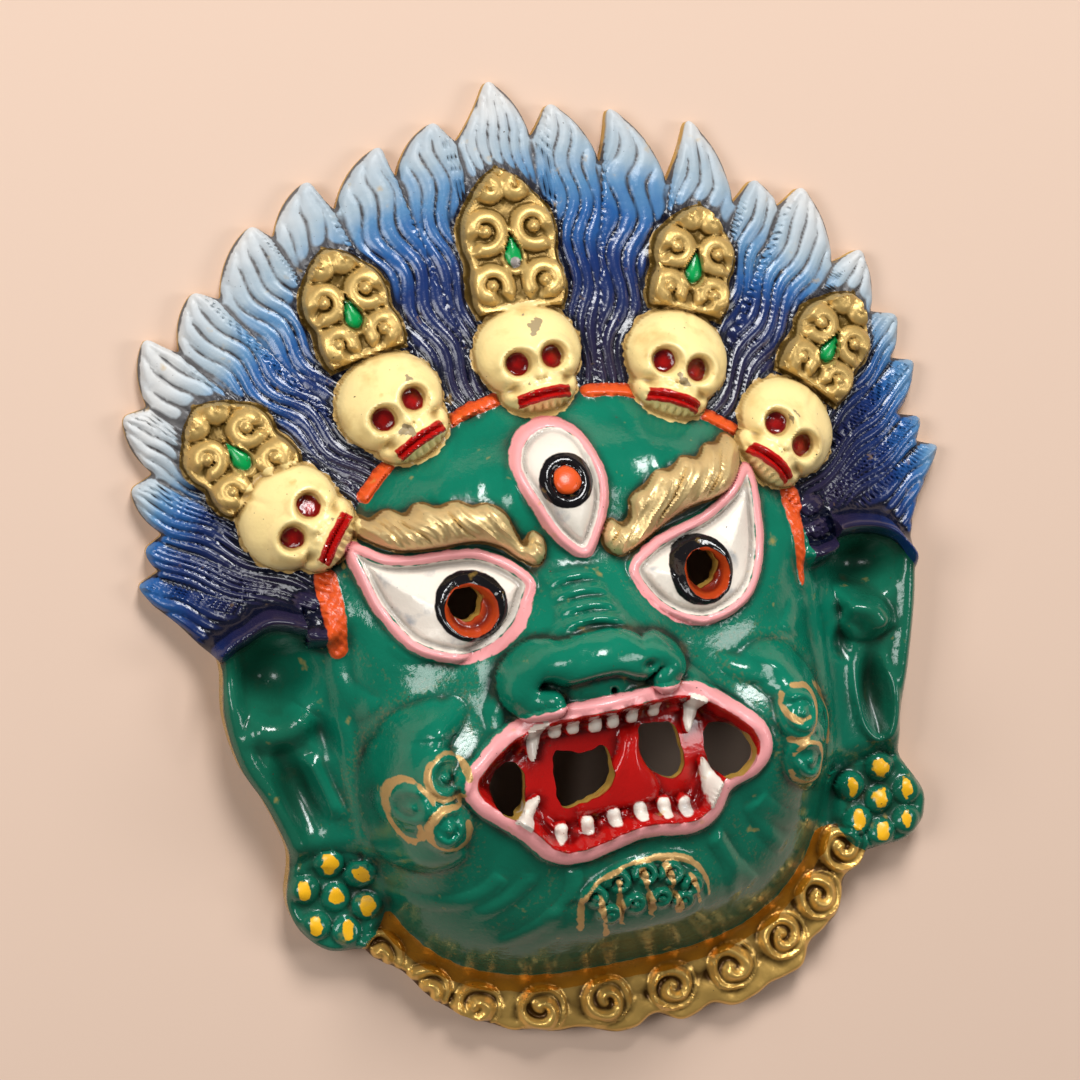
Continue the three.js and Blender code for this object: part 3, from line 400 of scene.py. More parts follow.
def skullRelief(x, y):
    spec = skullSpec
    z = np.zeros(x.shape)
    for skull in skulls:
        u, v = lean(x, y, skull["x"], skull["y"], skull["turn"])
        side = np.abs(u)
        cranium = spec["craniumRise"] * dome(oval(u, v, *spec["cranium"]))
        bone = np.maximum(cranium, spec["jawRise"] * dome(oval(u, v, *spec["jaw"])))
        shown = bone > 0
        socket = oval(side, v, *spec["socket"], 1.05, 1)
        bone = bone + 0.9 * swell((socket - 3.7) / 1.3) * ease(-3, 1, v) - 2.9 * ease(3.2, 1.9, socket)
        bone = bone + 1.1 * swell(oval(u, v, *spec["nose"]))
        for part in ("cheek", "cheekHollow", "nostril", "wing"):
            *place, rise = spec[part]
            bone = bone + rise * swell(oval(side, v, *place))
        smile = jawLine(u, v, spec["mouthLine"])
        lipsHere = ease(6, 5.2, side)
        bone = bone + lipsHere * (0.9 * swell((np.abs(smile) - 0.85) / 0.8) - 0.6 * swell(smile / 0.6))
        row = ease(1.0, 0.4, np.abs(jawLine(u, v, spec["teethLine"]))) * ease(4.8, 4.2, side)
        bone = bone + 0.5 * (np.cos(u * math.tau / spec["toothPitch"]) - 0.2) * row
        bone = bone - 0.5 * swell(u / 1.1) * ease(4, 9, v) + 0.25 * ripple(u, v, 6, 11)
        z = np.where(shown, np.maximum(z, bone), z)
    return z


# The paint areas are kept as distances in millimetres, positive inside.
paints = ("hair", "gold", "brass", "bronze", "amber", "cream", "pink", "white", "black", "orange", "ember",
          "red", "stroke", "yellow", "jewel", "bare", "smudge", "wear")


def cover(paint, name, area):
    paint[name] = np.maximum(paint[name], area)


def skullPaint(x, y, paint):
    for skull in skulls:
        u, v = lean(x, y, skull["x"], skull["y"], skull["turn"])
        for part, edge in skullSpec["paintEdge"].items():
            cx, cy, wide, tall = skullSpec[part]
            cover(paint, "cream", (wide + edge) * (1 - oval(u, v, cx, cy, wide + edge, tall + edge)))
        cover(paint, "red", 2.2 * (1 - oval(np.abs(u), v, *skullSpec["socket"], 2.1, 2.3)))
        smile = jawLine(u, v, skullSpec["mouthLine"])
        cover(paint, "red", np.minimum(5.4 - np.abs(u), 1.35 - np.abs(smile)))
        for su, sv, size in skull["smudges"]:
            cover(paint, "smudge", size - np.hypot(u - su, v - sv))


# One leaf ornament: a plate with three pairs of curled scrolls round balls, and a drop-shaped jewel.
leafSpec = {
    "rise": 2.8,
    "half": curve([(0, 0.86), (0.1, 0.98), (0.24, 0.98), (0.36, 0.92), (0.5, 1.0), (0.66, 0.94), (0.8, 0.66),
                   (0.92, 0.36), (1.0, 0.0)]),
    # share of the length, share of the width, radius, where the curl opens, ball radius
    "scrolls": [(0.2, 0.27, 3.7, -2.2, 1.35), (0.57, 0.245, 4.2, -0.7, 1.4), (0.86, 0.12, 2.3, 0.9, 0.8)],
    "wire": 1.5, "wireRise": 1.7, "jewel": (0.42, 1.4, 3.2),
}


def leafEdge(u, v, length, width):
    share = v / length
    half = width / 2 * np.interp(share, leafSpec["half"][:, 0], leafSpec["half"][:, 1])
    return np.minimum(np.minimum(half - np.abs(u), v), (1 - share) * length)


def curl(u, v, radius, opening, wire, ball):
    r = np.hypot(u, v)
    turn = np.mod(np.arctan2(v, u) - opening, math.tau) / math.tau
    ring = radius * (0.56 + 0.36 * turn)
    ridge = dome(np.minimum(1, np.abs(r - ring) / wire)) * ease(0, 0.14, turn) * ease(1, 0.93, turn)
    return np.maximum(ridge, 1.1 * dome(np.minimum(1, r / ball)))


def jewelReach(u, v, length):
    share, wide, tall = leafSpec["jewel"]
    drop = v - share * length
    return oval(u, drop, 0, 0, wide * np.clip(1 - 0.22 * drop, 0.25, 1.3), tall)


def leafRelief(x, y):
    z = np.zeros(x.shape)
    for skull in skulls:
        cx, cy, turn, length, width = skull["leaf"]
        u, v = lean(x, y, cx, cy, turn)
        edge = leafEdge(u, v, length, width)
        scale = length / 26
        plate = leafSpec["rise"] * ease(0, 0.9, edge) + 0.5 * swell((edge - 1.1) / 0.9)
        detail = np.zeros(x.shape)
        for along, across, radius, opening, ball in leafSpec["scrolls"]:
            su, sv = np.abs(u) - across * width, v - along * length
            size = radius * min(scale, 1.05)
            detail = np.maximum(detail, curl(su, sv, size, opening, leafSpec["wire"], ball))
            plate = plate + 0.8 * swell(np.hypot(su, sv) / size / 1.2)
        jewel = jewelReach(u, v, length)
        plate = plate + leafSpec["wireRise"] * detail * ease(1, 1.4, jewel)
        plate = plate + 1.0 * dome(np.minimum(jewel, 1)) + 0.9 * swell((jewel - 1.35) / 0.35)
        z = np.where(edge > 0, np.maximum(z, plate), z)
    return z


def leafPaint(x, y, paint):
    for skull in skulls:
        cx, cy, turn, length, width = skull["leaf"]
        u, v = lean(x, y, cx, cy, turn)
        cover(paint, "gold", leafEdge(u, v, length, width) + 0.5)
        cover(paint, "jewel", 1.55 * (1.05 - jewelReach(u, v, length)))
    middle = skulls[2]["leaf"]
    u, v = lean(x, y, middle[0], middle[1], middle[2])
    paint["bare"] = 1.2 - np.hypot(u - 0.2, v - 0.34 * middle[3])


# Ears: an arch of hair above, a deep basin with a folded lump, a long hollow and a cluster of beads.
ears = [
    # basins: middle, half widths, lean, depth; ridges: path, height, half width;
    # lumps: middle, half widths, height; pad: middle, half widths
    {
        "side": -1,
        "basins": [(-61.4, -12.2, 10.2, 9.6, 0, 7.2), (-59.6, -35.6, 4.8, 11.6, 16, 4.4),
                   (-53.2, -25, 3.2, 6, 10, 1.6)],
        "ridges": [([(-68, -21), (-63.6, -23.4), (-59, -23), (-55.6, -19.6)], 2.6, 4.6),
                   ([(-56.8, -28.6), (-55.2, -35), (-52.8, -42.4)], 1.6, 2.6)],
        "lumps": [(-52.6, 2, 2.8, 2.1, 1.3), (-53.6, -2.6, 2.8, 2.1, 1.3)],
        "pad": (-55.8, -59, 11, 12),
        "beads": [(-55.8, -51.5), (-50.2, -54.6), (-61.3, -56), (-55.4, -58.6), (-49.6, -61.4),
                  (-60.2, -63.6),
                  (-54.4, -65.8)],
    },
    {
        "side": 1,
        "basins": [(61.8, -10.4, 10.2, 8.6, 0, 7.4), (60.9, -36.4, 3.7, 10.2, -2, 4.4),
                   (55.2, -25.6, 3.0, 5, 0, 2.2)],
        "ridges": [([(55.6, -17.6), (58.8, -17.6), (62.4, -20.2), (64.8, -25.6)], 3.8, 4.6),
                   ([(57.4, -28.6), (56.7, -36), (57.6, -43.4), (60.8, -47), (64.2, -43.4), (64.9, -36),
                     (63.6, -28.6)], 1.0, 1.5)],
        "lumps": [(51.9, 4, 3, 2.2, 1.8), (53.1, -0.9, 3.2, 2.3, 1.8), (53.6, -5.6, 3, 2.2, 1.8),
                  (60.8, -21.4, 5.6, 4.8, 2.4)],
        "pad": (60, -60.5, 10.6, 11),
        "beads": [(60.4, -53), (53.8, -56), (65.6, -58.9), (59.4, -59.6), (54.4, -63.2), (64.6, -65),
                  (59, -66.6)],
    },
]
earSpec = {"fill": 3.0, "foot": (4.2, 4.0), "edge": 1.2, "roll": 4.2}
beadSpec = {"radius": 3.35, "rise": 3.6, "dab": 1.75}


def earRelief(x, y, inset, depth):
    z = np.zeros(x.shape)
    above = aboveHairLine(x, y)
    for ear in ears:
        here = x * ear["side"] > 44
        outer = ease(8, 2, above) * ease(-53, -46, y)
        rise = earSpec["fill"] * outer
        rise = rise + earSpec["edge"] * swell((depth - 2.1) / 2.6) * outer
        for cx, cy, wide, tall, turn, deep in ear["basins"]:
            u, v = lean(x, y, cx, cy, turn)
            rise = rise - deep * swell(oval(u, v, 0, 0, wide, tall))
        for path, high, half in ear["ridges"]:
            d, t = nearest(curve(path), x, y, half)
            rise = rise + high * swell(d / half) * np.minimum(1, np.minimum(t, 1 - t) * 5)
        arch = swell((above - 2.4) / 2.9) * ease(76, 72, np.abs(x)) * ease(-3, 1, -inset)
        rise = rise + earSpec["roll"] * arch
        for cx, cy, wide, tall, high in ear["lumps"]:
            rise = rise + high * dome(np.minimum(1, oval(x, y, cx, cy, wide, tall))) ** 1.4
        beads = 1.6 * ease(1.05, 0.8, oval(x, y, *ear["pad"]))
        for bx, by in ear["beads"]:
            reach = np.hypot(x - bx, y - by) / beadSpec["radius"]
            beads = np.maximum(beads, beadSpec["rise"] * dome(np.minimum(1, reach)) ** 0.8)
        z = np.where(here, np.where(beads > 0, np.maximum(rise, beads), rise), z)
    return z * ease(5, 0, inset)


def earPaint(x, y, paint):
    for ear in ears:
        pad = ear["pad"]
        paint["gold"] = np.minimum(paint["gold"], 9 * (oval(x, y, *pad) - 0.98))
        for k, (bx, by) in enumerate(ear["beads"]):
            dab = oval(x, y, bx + 0.2 * math.sin(k * 2.3), by + 0.2, 0.8 + 0.12 * math.cos(k * 1.9), 1.1)
            cover(paint, "yellow", beadSpec["dab"] - dab)


# The band under the jaw: a plain fillet and a row of curled scrolls, each a little different.
band = {"angles": [-133.9, -124.2, -115.2, -104.2, -93, -81.2, -70.4, -60.6, -51.5, -42.6],
        "radius": 4.9, "inset": 7.6, "fillet": 3.8, "foot": 2.0, "pitch": 3.5, "top": -63.5}


def scrollCentres():
    rows = []
    for angle in band["angles"]:
        dx, dy = math.cos(math.radians(angle)), math.sin(math.radians(angle))
        foot = 1 / faceReach(np.array([dx]), np.array([face["y"] + dy]))[0]
        rows.append(((foot + band["inset"]) * dx, face["y"] + (foot + band["inset"]) * dy, angle))
    return rows


def bandRelief(x, y):
    z = band["foot"] * np.clip(1 + faceInset(x, y) / band["fillet"], 0, 1) ** 2
    for cx, cy, angle in scrollCentres():
        u, v = lean(x, y, cx, cy, angle + 150)
        r = np.hypot(u, v)
        hand = -1 if cx < 5 else 1
        turn = r / band["pitch"] - np.arctan2(v, u * hand) / math.tau + 0.11 * ripple(x, y, 8, 41)
        inside = ease(1.06, 0.9, r / band["radius"])
        knob = 1.5 * dome(np.minimum(1, r / (band["radius"] * 1.1)))
        z = np.maximum(z, knob + inside * (0.2 + 0.85 * np.cos(math.tau * turn)) * ease(0, 1.2, r))
    z = z + 0.4 * ripple(x, y, 6, 43) * ease(-3, -6, faceInset(x, y))
    return np.where(y < -52, z, 0)


# The eyes: pink lid rims, white balls, a black ring and a pierced, coned iris.
eyes = [
    {"ring": (-23.0, -2.7, 6.9), "iris": (-23.1, -3.5, 5.1), "hole": (-23.8, -2.2, 3.35),
     "lid": [(-43.0, 11.4), (-37.4, 8.4), (-31.5, 7.4), (-25, 7.4), (-19.7, 6.8), (-14.6, 4), (-11.2, 0.2),
             (-12.6, -3.6), (-15.2, -7.8), (-20, -11.4), (-26, -12.6), (-34.4, -9.2), (-39.4, -2),
             (-41.8, 5)]},
    {"ring": (23.2, -3.3, 6.9), "iris": (24.3, -4.2, 4.9), "hole": (24.0, -3.2, 3.7),
     "lid": [(38.3, 14.2), (33, 9.9), (27, 6.4), (20.1, 4.6), (14.4, 2.8), (9.4, -0.9), (12.4, -7.6),
             (17.6, -11.8), (24, -13.2), (32.2, -10.2), (37, -3.4), (38.6, 5)]},
]
thirdEye = {"pupil": (-1.1, 18.5), "lid": [(-1.4, 29.8), (-7.4, 27.2), (-9.8, 21.4), (-6.7, 12.6), (-3.5, 7),
                                           (0.5, 4.0), (3.7, 8), (5.9, 13.6), (6.1, 20), (3.7, 27)]}


eyeSpec = {"lid": 1.7, "ball": 5.4, "groove": 0.9, "ringEdge": 0.5, "cone": 3.4, "pink": 1.0}
thirdSpec = {"lid": 1.5, "ball": 2.4, "groove": 0.8, "ring": 5.4, "pupil": 2.7, "pink": 1.1}


def eyeRelief(x, y):
    z = np.zeros(x.shape)
    lid, groove = eyeSpec["lid"], eyeSpec["groove"]
    for eye in eyes:
        d = loopDistance(eye["lid"], x, y, 6)
        ring, iris = away(x, y, eye["ring"]), away(x, y, eye["iris"])
        rise = lid * swell(d / lid) + eyeSpec["ball"] * ease(2, -9, d) - groove * swell((d + 2.0) / groove)
        rise = rise + eyeSpec["ringEdge"] * swell((ring - 6.0) / 1.2)
        rise = rise - eyeSpec["cone"] * ease(eye["iris"][2] + 0.2, 3.2, iris)
        z = np.where(d < 6, z + rise, z)
    lid, groove, pupil = thirdSpec["lid"], thirdSpec["groove"], thirdSpec["pupil"]
    d = loopDistance(thirdEye["lid"], x, y, 8)
    r = away(x, y, thirdEye["pupil"])
    rise = lid * swell(d / lid) + thirdSpec["ball"] * ease(1, -5, d) - groove * swell((d + 1.8) / groove)
    rise = rise + 0.9 * dome(np.minimum(1, r / pupil))
    rise = rise + 0.4 * swell((r - 4.3) / 1.2) - 0.5 * swell((r - 2.9) / 0.6)
    return np.where(d < 8, z + rise, z)


def eyePaint(x, y, paint):
    for eye in eyes:
        d = loopDistance(eye["lid"], x, y, 6)
        cover(paint, "pink", eyeSpec["pink"] - np.abs(d))
        cover(paint, "white", -d - 1.1)
        cover(paint, "black", eye["ring"][2] - away(x, y, eye["ring"]))
        cover(paint, "ember", eye["iris"][2] - away(x, y, eye["iris"]))
    d = loopDistance(thirdEye["lid"], x, y, 6)
    r = away(x, y, thirdEye["pupil"])
    cover(paint, "pink", thirdSpec["pink"] - np.abs(d))
    cover(paint, "white", -d - 1.0)
    cover(paint, "black", thirdSpec["ring"] - r)
    cover(paint, "orange", thirdSpec["pupil"] - r)


# Gold brows: lobed leaf shapes cut by slanting grooves, each with a small hook at its inner end.
brows = [
    {"edge": [(-43.4, 15.6), (-40.5, 17.2), (-38.4, 16.2), (-35, 17.6), (-32, 16.4), (-29.4, 18.2), (-26, 17),
              (-22.6, 17.6), (-19.6, 16.2), (-16.6, 16.2), (-13.6, 13.6), (-12.2, 9.8), (-10.9, 7.4),
              (-9.2, 9.4),
              (-7.3, 8.2), (-7.3, 4.8), (-9.2, 3), (-12, 4.6), (-15.2, 7.4), (-20, 9.2), (-27.3, 9),
              (-34, 9.4), (-39.3, 12)],
     "slant": 0.9},
    {"edge": [(4.5, 5.2), (6.8, 2.4), (10, 2.8), (13.5, 4.3), (22.8, 8.6), (29, 9.6), (33, 11), (36.6, 15),
              (37.6, 19), (35.4, 21.4), (32.4, 20), (29.6, 20.2), (26.7, 18.2), (23.4, 18.8), (20.4, 17),
              (17.4, 17), (14.6, 14.6), (11.6, 13), (10.8, 9.4), (9, 8), (6.8, 9.4), (5, 8)],
     "slant": -0.75},
]


browSpec = {"rise": 4.1, "edge": 3.8, "groovePitch": 4.3, "groove": 0.9, "ribs": 0.25}


def browRelief(x, y):
    z = np.zeros(x.shape)
    for brow in brows:
        d = loopDistance(brow["edge"], x, y, 6)
        inside = np.clip(-d / browSpec["edge"], 0, 1)
        rise = browSpec["rise"] * np.sqrt(1 - (1 - inside) ** 2)
        phase = (x + brow["slant"] * y + 0.8 * ripple(x, y, 8, 21)) / browSpec["groovePitch"]
        groove = browSpec["groove"] * (np.abs(np.cos(math.pi * phase)) ** 0.6 - 0.75)
        rise = rise + (groove + browSpec["ribs"] * np.cos(math.tau * phase * 2.6)) * ease(0, 1.6, -d)
        z = np.where(d < 0, np.maximum(z, rise), z)
    return z


def browPaint(x, y, paint):
    for brow in brows:
        d = loopDistance(brow["edge"], x, y, 6)
        cover(paint, "brass", 0.35 - d)


# The nose is one roll from wing to wing, with a deep hollow below it and wrinkles above.
noseRoll = [
    (-12.8, -22.6), (-16.4, -22), (-17.2, -18), (-13.8, -14.6), (-9, -15.6), (-3, -14.8), (1.6, -15),
    (6, -17), (10.2, -16.4), (12.8, -19), (11, -21.6)]
nostrils = [(-12, -18.8, 2.6, 1.9), (7.2, -18, 2.4, 1.7)]
wrinkles = [(0.4, -8.0, 1.6), (-2.3, -8.4, 2.6), (-5.0, -8.2, 3.6), (-7.7, -7.6, 4.6)]


def noseRelief(x, y):
    d, t = nearest(curve(noseRoll), x, y, 9)
    thick = 3.3 + 1.7 * np.sin(math.pi * t) ** 1.5
    z = np.where(d < 9, 5.0 * dome(np.minimum(1, d / thick)), 0)
    z = z - 3.8 * swell(oval(x, y, -3.2, -20.6, 13, 3.8)) * ease(2.0, 4.6, d)
    for nostril in nostrils:
        z = z - 1.6 * swell(oval(x, y, *nostril))
    for wy, x0, x1 in wrinkles:
        slope = np.clip((x - x0) / (x1 - x0), 0, 1)
        z = z + 1.5 * swell((y - wy + 0.03 * (x + 2.5) ** 2) / 1.35) * np.sin(math.pi * slope) ** 0.5
    return z


# The mouth: pink lips, a deep red throat, small teeth, four fangs and a tongue between the gaps.
mouth = {
    "lipHalf": 1.9, "lipRise": 2.0,
    "upper": [(-11.4, -28.7, 4), (-8.0, -28.5, 2), (-3.6, -28.8, 0), (-0.1, -28.6, 0), (3.9, -28.2, 0),
              (8.6, -27.8, -4)],
    "lower": [(-12.6, -49.2, -6), (-7.4, -48.6, 0), (-2.1, -47.6, 4), (3.1, -47.2, 0), (8.2, -47.5, 2),
              (12.4, -48.2, -4)],
    "fangs": [((-15, -25.6), (-16.4, -34.4), 2.2), ((17.4, -26.8), (14.7, -34), 2.2), ((-20.8, -46.4),
               (-15.9, -40.9), 2.2),
              ((18.6, -47.6), (17, -39.2), 2.4)],
    "holes": [
        [(-21, -33.8), (-18.3, -35.6), (-18.1, -40), (-19.2, -43.5), (-21.9, -44.4), (-24.9, -41.8),
         (-24.5, -37)],
        [(-11.6, -33), (-6.5, -34.1), (-2.2, -33.3), (-1.1, -37), (-2.4, -41.4), (-6.7, -43.7),
         (-11.6, -44.4),
         (-12.5, -38.6)],
        [(5.1, -31.4), (8.6, -30.8), (12.7, -32.2), (13.6, -37), (13.5, -40.6), (11.3, -42.7),
         (7, -40.4), (4.6, -36.6)],
        [(18.6, -35.2), (20.6, -33.4), (24.6, -34.5), (27.4, -37.6), (27.1, -41.3), (24.8, -43.8), (21, -44),
         (18.7, -40.4)]],
}


def toothShapes(x, y):
    shapes = []
    for row, wide, tall in (("upper", 1.45, 1.8), ("lower", 1.5, 2.1)):
        for tx, ty, turn in mouth[row]:
            u, v = lean(x, y, tx, ty, turn)
            shapes.append((np.abs(u / wide) ** 3 + np.abs(v / tall) ** 3) ** (1 / 3))
    for (rx, ry), (px, py), half in mouth["fangs"]:
        length = math.hypot(px - rx, py - ry)
        along = ((x - rx) * (px - rx) + (y - ry) * (py - ry)) / length
        across = ((x - rx) * (py - ry) - (y - ry) * (px - rx)) / length
        taper = np.sqrt(np.clip(1 - along / length, 0, 1))
        shape = np.abs(across) / np.maximum(0.05, half * taper)
        shapes.append(np.where((along > -1.5) & (taper > 0), shape, 2))
    return shapes


def mouthRelief(x, y):
    d, _ = nearest(lips, x, y, 6, True)
    z = mouth["lipRise"] * dome(np.minimum(1, np.abs(d) / mouth["lipHalf"]))
    tooth = np.zeros(x.shape)
    for shape in toothShapes(x, y):
        tooth = np.maximum(tooth, 3.0 * dome(np.minimum(1, shape)) ** 0.7)
    gum = 1.5 * ease(-5.6, -4.2, d) * ease(20, 17, np.abs(x + 0.5))
    gum = gum + 0.6 * np.cos(x * math.tau / 4.4) * ease(-6, -4.6, d) * ease(-5.2, -4.6, -np.abs(d))
    spread = 2.2 + 6 * ease(-34, -45, y)
    column = (x - 2.6 + 0.28 * (-34 - y)) / spread
    tongue = 3.0 * dome(np.clip(column, -1, 1)) - 0.8 * swell(column / 0.5)
    tongue = tongue * ease(-30, -33, y) * ease(-48, -45, y)
    z = z + np.maximum(np.maximum(tooth, gum), tongue) * ease(-0.4, -2.2, d)
    return np.where(d < 6, z, 0)


def mouthPaint(x, y, paint):
    d, _ = nearest(lips, x, y, 6, True)
    cover(paint, "pink", 1.4 - np.abs(d - 0.1))
    cover(paint, "red", -d - 1.2)
    for shape in toothShapes(x, y):
        cover(paint, "white", np.where(d < -0.6, 1.6 * (0.86 - shape), -9))


# Cheek discs with small curls, and a fan of small curls on the chin, both picked out with brushed gold.
cheekDiscs = [(-34, -33.6, 4.8), (-34.8, -43.4, 4.8), (-41.4, -38.6, 4.6),
              (37.2, -33.4, 4.8), (37.8, -43.4, 4.8), (44.6, -38.4, 4.4)]
strokes = [
    # gold brush lines on the cheeks and chin: path, half width
    ([(-29.8, -34.6), (-30.4, -30.8), (-33.6, -29), (-37.2, -31), (-37.6, -35), (-35.2, -37.6),
      (-31, -37.6)], 0.62),
    ([(-32, -39.4), (-36.5, -39.7), (-38.9, -43), (-37.6, -46.8), (-33.7, -48.2), (-30.9, -46.6),
      (-30.9, -43.4)], 0.62),
    ([(-41.4, -46), (-43.8, -43.2), (-45, -38.8), (-44.2, -34.8), (-42, -33), (-39.6, -34),
      (-37.4, -38)], 0.62),
    ([(-41.4, -46), (-40, -44.8), (-40.2, -42.4)], 0.7),
    ([(34, -29.4), (33.6, -31.6), (35.6, -34.6), (38.6, -34.6)], 0.62),
    ([(36.2, -28), (39.8, -29), (41, -32.6), (39.6, -36.6), (36.6, -38.8), (34.4, -38.4)], 0.62),
    ([(34.6, -41.4), (37.4, -39.4), (40.6, -41), (41.4, -44.4), (39, -48), (35.8, -47.6), (34, -45)], 0.62),
    ([(43.4, -29.6), (46.6, -33), (48.2, -38.6), (47.6, -44)], 0.6),
    ([(-10.9, -69.6), (-10.6, -64), (-7.7, -60.3), (-1.3, -57.4), (5.8, -57.1), (11, -58.7), (14.7, -62.9),
      (15.6, -67.4)], 0.6),
    ([(-7.2, -62.6), (-6.9, -66), (-6.4, -69), (-5.7, -72)], 0.5),
    ([(-3.4, -60.4), (-3.3, -65), (-2.8, -70.4)], 0.65),
    ([(1.6, -59), (2.4, -64), (3.3, -70)], 0.65), ([(6.6, -59), (7.8, -64), (8.9, -69.6)], 0.65),
    ([(11.4, -61.8), (12.4, -65), (13.4, -68.6)], 0.5),
]
chinCurls = [(-7.9, -63, 2.3), (-3.2, -60.6, 2.4), (2.3, -59.9, 2.4), (7.6, -60.9, 2.4), (11.9, -64.2, 2.2),
             (-5.4, -67, 2), (-0.4, -65.6, 2), (5, -65.4, 2), (9.6, -67.2, 2)]


def cheekRelief(x, y):
    z = np.zeros(x.shape)
    for cx, cy, radius in cheekDiscs:
        r = np.hypot(x - cx, y - cy)
        side = math.copysign(1, cx)
        ridge = curl((x - cx) * side, y - cy, radius * 0.86, 2.4, 0.9, 0.9)
        disc = 1.1 * ease(radius + 1, radius - 0.4, r)
        z = np.maximum(z, disc + 0.9 * ridge * ease(radius, radius - 1, r))
    for cx, cy, radius in chinCurls:
        ridge = 1.5 * curl(x - cx, y - cy, radius, 3.6, 0.8, 0.8)
        z = np.maximum(z, ridge + 0.5 * swell(np.hypot(x - cx, y - cy) / 3))
    arc = lineDistance(strokes[8][0], x, y, 3)
    return z + 0.9 * swell(arc / 1.4)


def strokePaint(x, y, paint):
    for line, half in strokes:
        d, t = nearest(curve(line), x, y, 3)
        uneven = half * (0.9 + 0.3 * np.sin(t * 9 + line[0][0]))
        cover(paint, "stroke", uneven - d)


# Orange ribbon: short lengths of headband between the skulls and a tab hanging beside each eye.
ribbon = [
    # path, half width
    ([(-38.2, 20.6), (-34, 24.8), (-28, 29.2), (-20, 32.2), (-14, 34.4)], 1.0),
    ([(-16, 33.6), (-11, 34.9), (-6, 36)], 1.0),
    ([(9, 34.2), (14.4, 33.6), (20, 32), (28, 28.6), (34, 24.6), (40.4, 20)], 1.0),
]
tabs = [[(-50.4, 7), (-46.4, 7), (-45.8, 0), (-46, -6), (-47, -9.6), (-49.8, -9.2), (-50.2, -2)],
        [(45.6, 9.6), (49.4, 7.4), (48.8, 1), (48.2, -5), (47.6, -11), (46.6, -11.2), (46.2, -3)]]


def skullGap(x, y):
    gap = np.full(x.shape, 99.0)
    for skull in skulls:
        u, v = lean(x, y, skull["x"], skull["y"], skull["turn"])
        for part in ("cranium", "jaw"):
            gap = np.minimum(gap, 10 * (oval(u, v, *skullSpec[part]) - 1))
    return gap


def ribbonRelief(x, y):
    z = np.zeros(x.shape)
    for line, half in ribbon:
        z = z + 1.2 * dome(np.minimum(1, lineDistance(line, x, y, 3) / half))
    for tab in tabs:
        d = loopDistance(tab, x, y, 3)
        dots = np.cos(x * math.tau / 1.9) * np.cos(y * math.tau / 2.1)
        z = z + (0.9 + 0.25 * dots) * ease(0.3, -0.8, d)
    return z * ease(0, 1, skullGap(x, y))


def ribbonPaint(x, y, paint):
    for line, half in ribbon:
        cover(paint, "orange", half + 0.3 - lineDistance(line, x, y, 3))
    for tab in tabs:
        cover(paint, "orange", -loopDistance(tab, x, y, 3))
    clear = np.maximum(skullGap(x, y), 2 - np.abs(x + 2) + 30 * (y < 25))
    paint["orange"] = np.minimum(paint["orange"], clear - 0.4)


# The front surface: the body, then every feature in its place.
def frontHeight(x, y):
    inset = faceInset(x, y)
    depth = -nearest(outlineLoop, x, y, 6, True)[0]
    body = bodyHeight(x, y)
    within = np.maximum(inset, 0)
    body = body + np.where(inset > 0, (plateHeight(x, y) - faceFoot(x, y)) * np.exp(-within / 4), 0)
    foot, run = earSpec["foot"]
    body = body + foot * np.exp(-np.abs(inset) / run) * ease(-60, -48, y) * ease(6, -6, y)
    marks = eyeRelief(x, y) + noseRelief(x, y) + mouthRelief(x, y) + cheekRelief(x, y)
    inner = marks + foldRelief(x, y) * ease(0, 4, inset)
    z = body + np.where(inset > 0, inner, 0)
    z = np.where(inset > 0, np.maximum(z, body + browRelief(x, y)), z)
    z = z + np.where(inset <= 0, hairRelief(x, y) * ease(3.5, 7, aboveHairLine(x, y)), 0)
    z = z + np.where(inset <= 5, earRelief(x, y, inset, depth), 0) + ribbonRelief(x, y)
    jawFillet = band["foot"] * np.exp(-within / 1.2) * ease(-48, -56, y)
    z = z + np.where(inset <= 0, bandRelief(x, y), jawFillet)
    base = crownHeight(x, y)
    bone = skullRelief(x, y)
    z = np.where(bone > 0, np.maximum(z, np.minimum(base, shell["headband"]) + bone), z)
    leaf = leafRelief(x, y)
    z = np.where(leaf > 0, np.maximum(z, base + leaf), z)
    return z - shell["edgeRound"] * (1 - np.clip(depth / shell["edgeRound"], 0, 1)) ** 2


# The hollow back, one wall thickness below the body, with a flat rim.
def backHeight(x, y):
    step = 1.0
    dx = (bodyHeight(x + step, y) - bodyHeight(x - step, y)) / (2 * step)
    dy = (bodyHeight(x, y + step) - bodyHeight(x, y - step)) / (2 * step)
    steep = np.minimum(2.3, np.sqrt(1 + dx * dx + dy * dy))
    hollow = np.maximum(0, bodyHeight(x, y) - shell["wall"] * steep - shell["backClearance"])
    edge = nearest(outlineLoop, x, y, 9, True)[0]
    return hollow * ease(-shell["rimWidth"], -shell["rimWidth"] - 5, edge)


def paintAreas(x, y):
    paint = {name: np.full(x.shape, -9.0) for name in paints}
    inset = faceInset(x, y)
    paint["hair"] = np.minimum(-inset, aboveHairLine(x, y))
    below = 0.7 * (band["top"] - y)
    paint["gold"] = np.minimum(-inset, below)
    paint["amber"] = np.minimum(np.minimum(-inset, inset + band["fillet"]), below)
    for brush in (earPaint, leafPaint, browPaint, skullPaint, eyePaint, mouthPaint, strokePaint, ribbonPaint):
        brush(x, y, paint)
    paint["bronze"] = np.minimum(np.minimum(-inset, below), paint["gold"])
    paint["amber"] = np.minimum(paint["amber"], paint["gold"])
    for ball in cheekBalls:
        d = loopDistance(ball, x, y, 6)
        cover(paint, "wear", 1.6 - np.abs(d - 0.6))
    for line, _, half in folds[3:]:
        cover(paint, "wear", 0.9 - lineDistance(line, x, y, 4))
    return paint


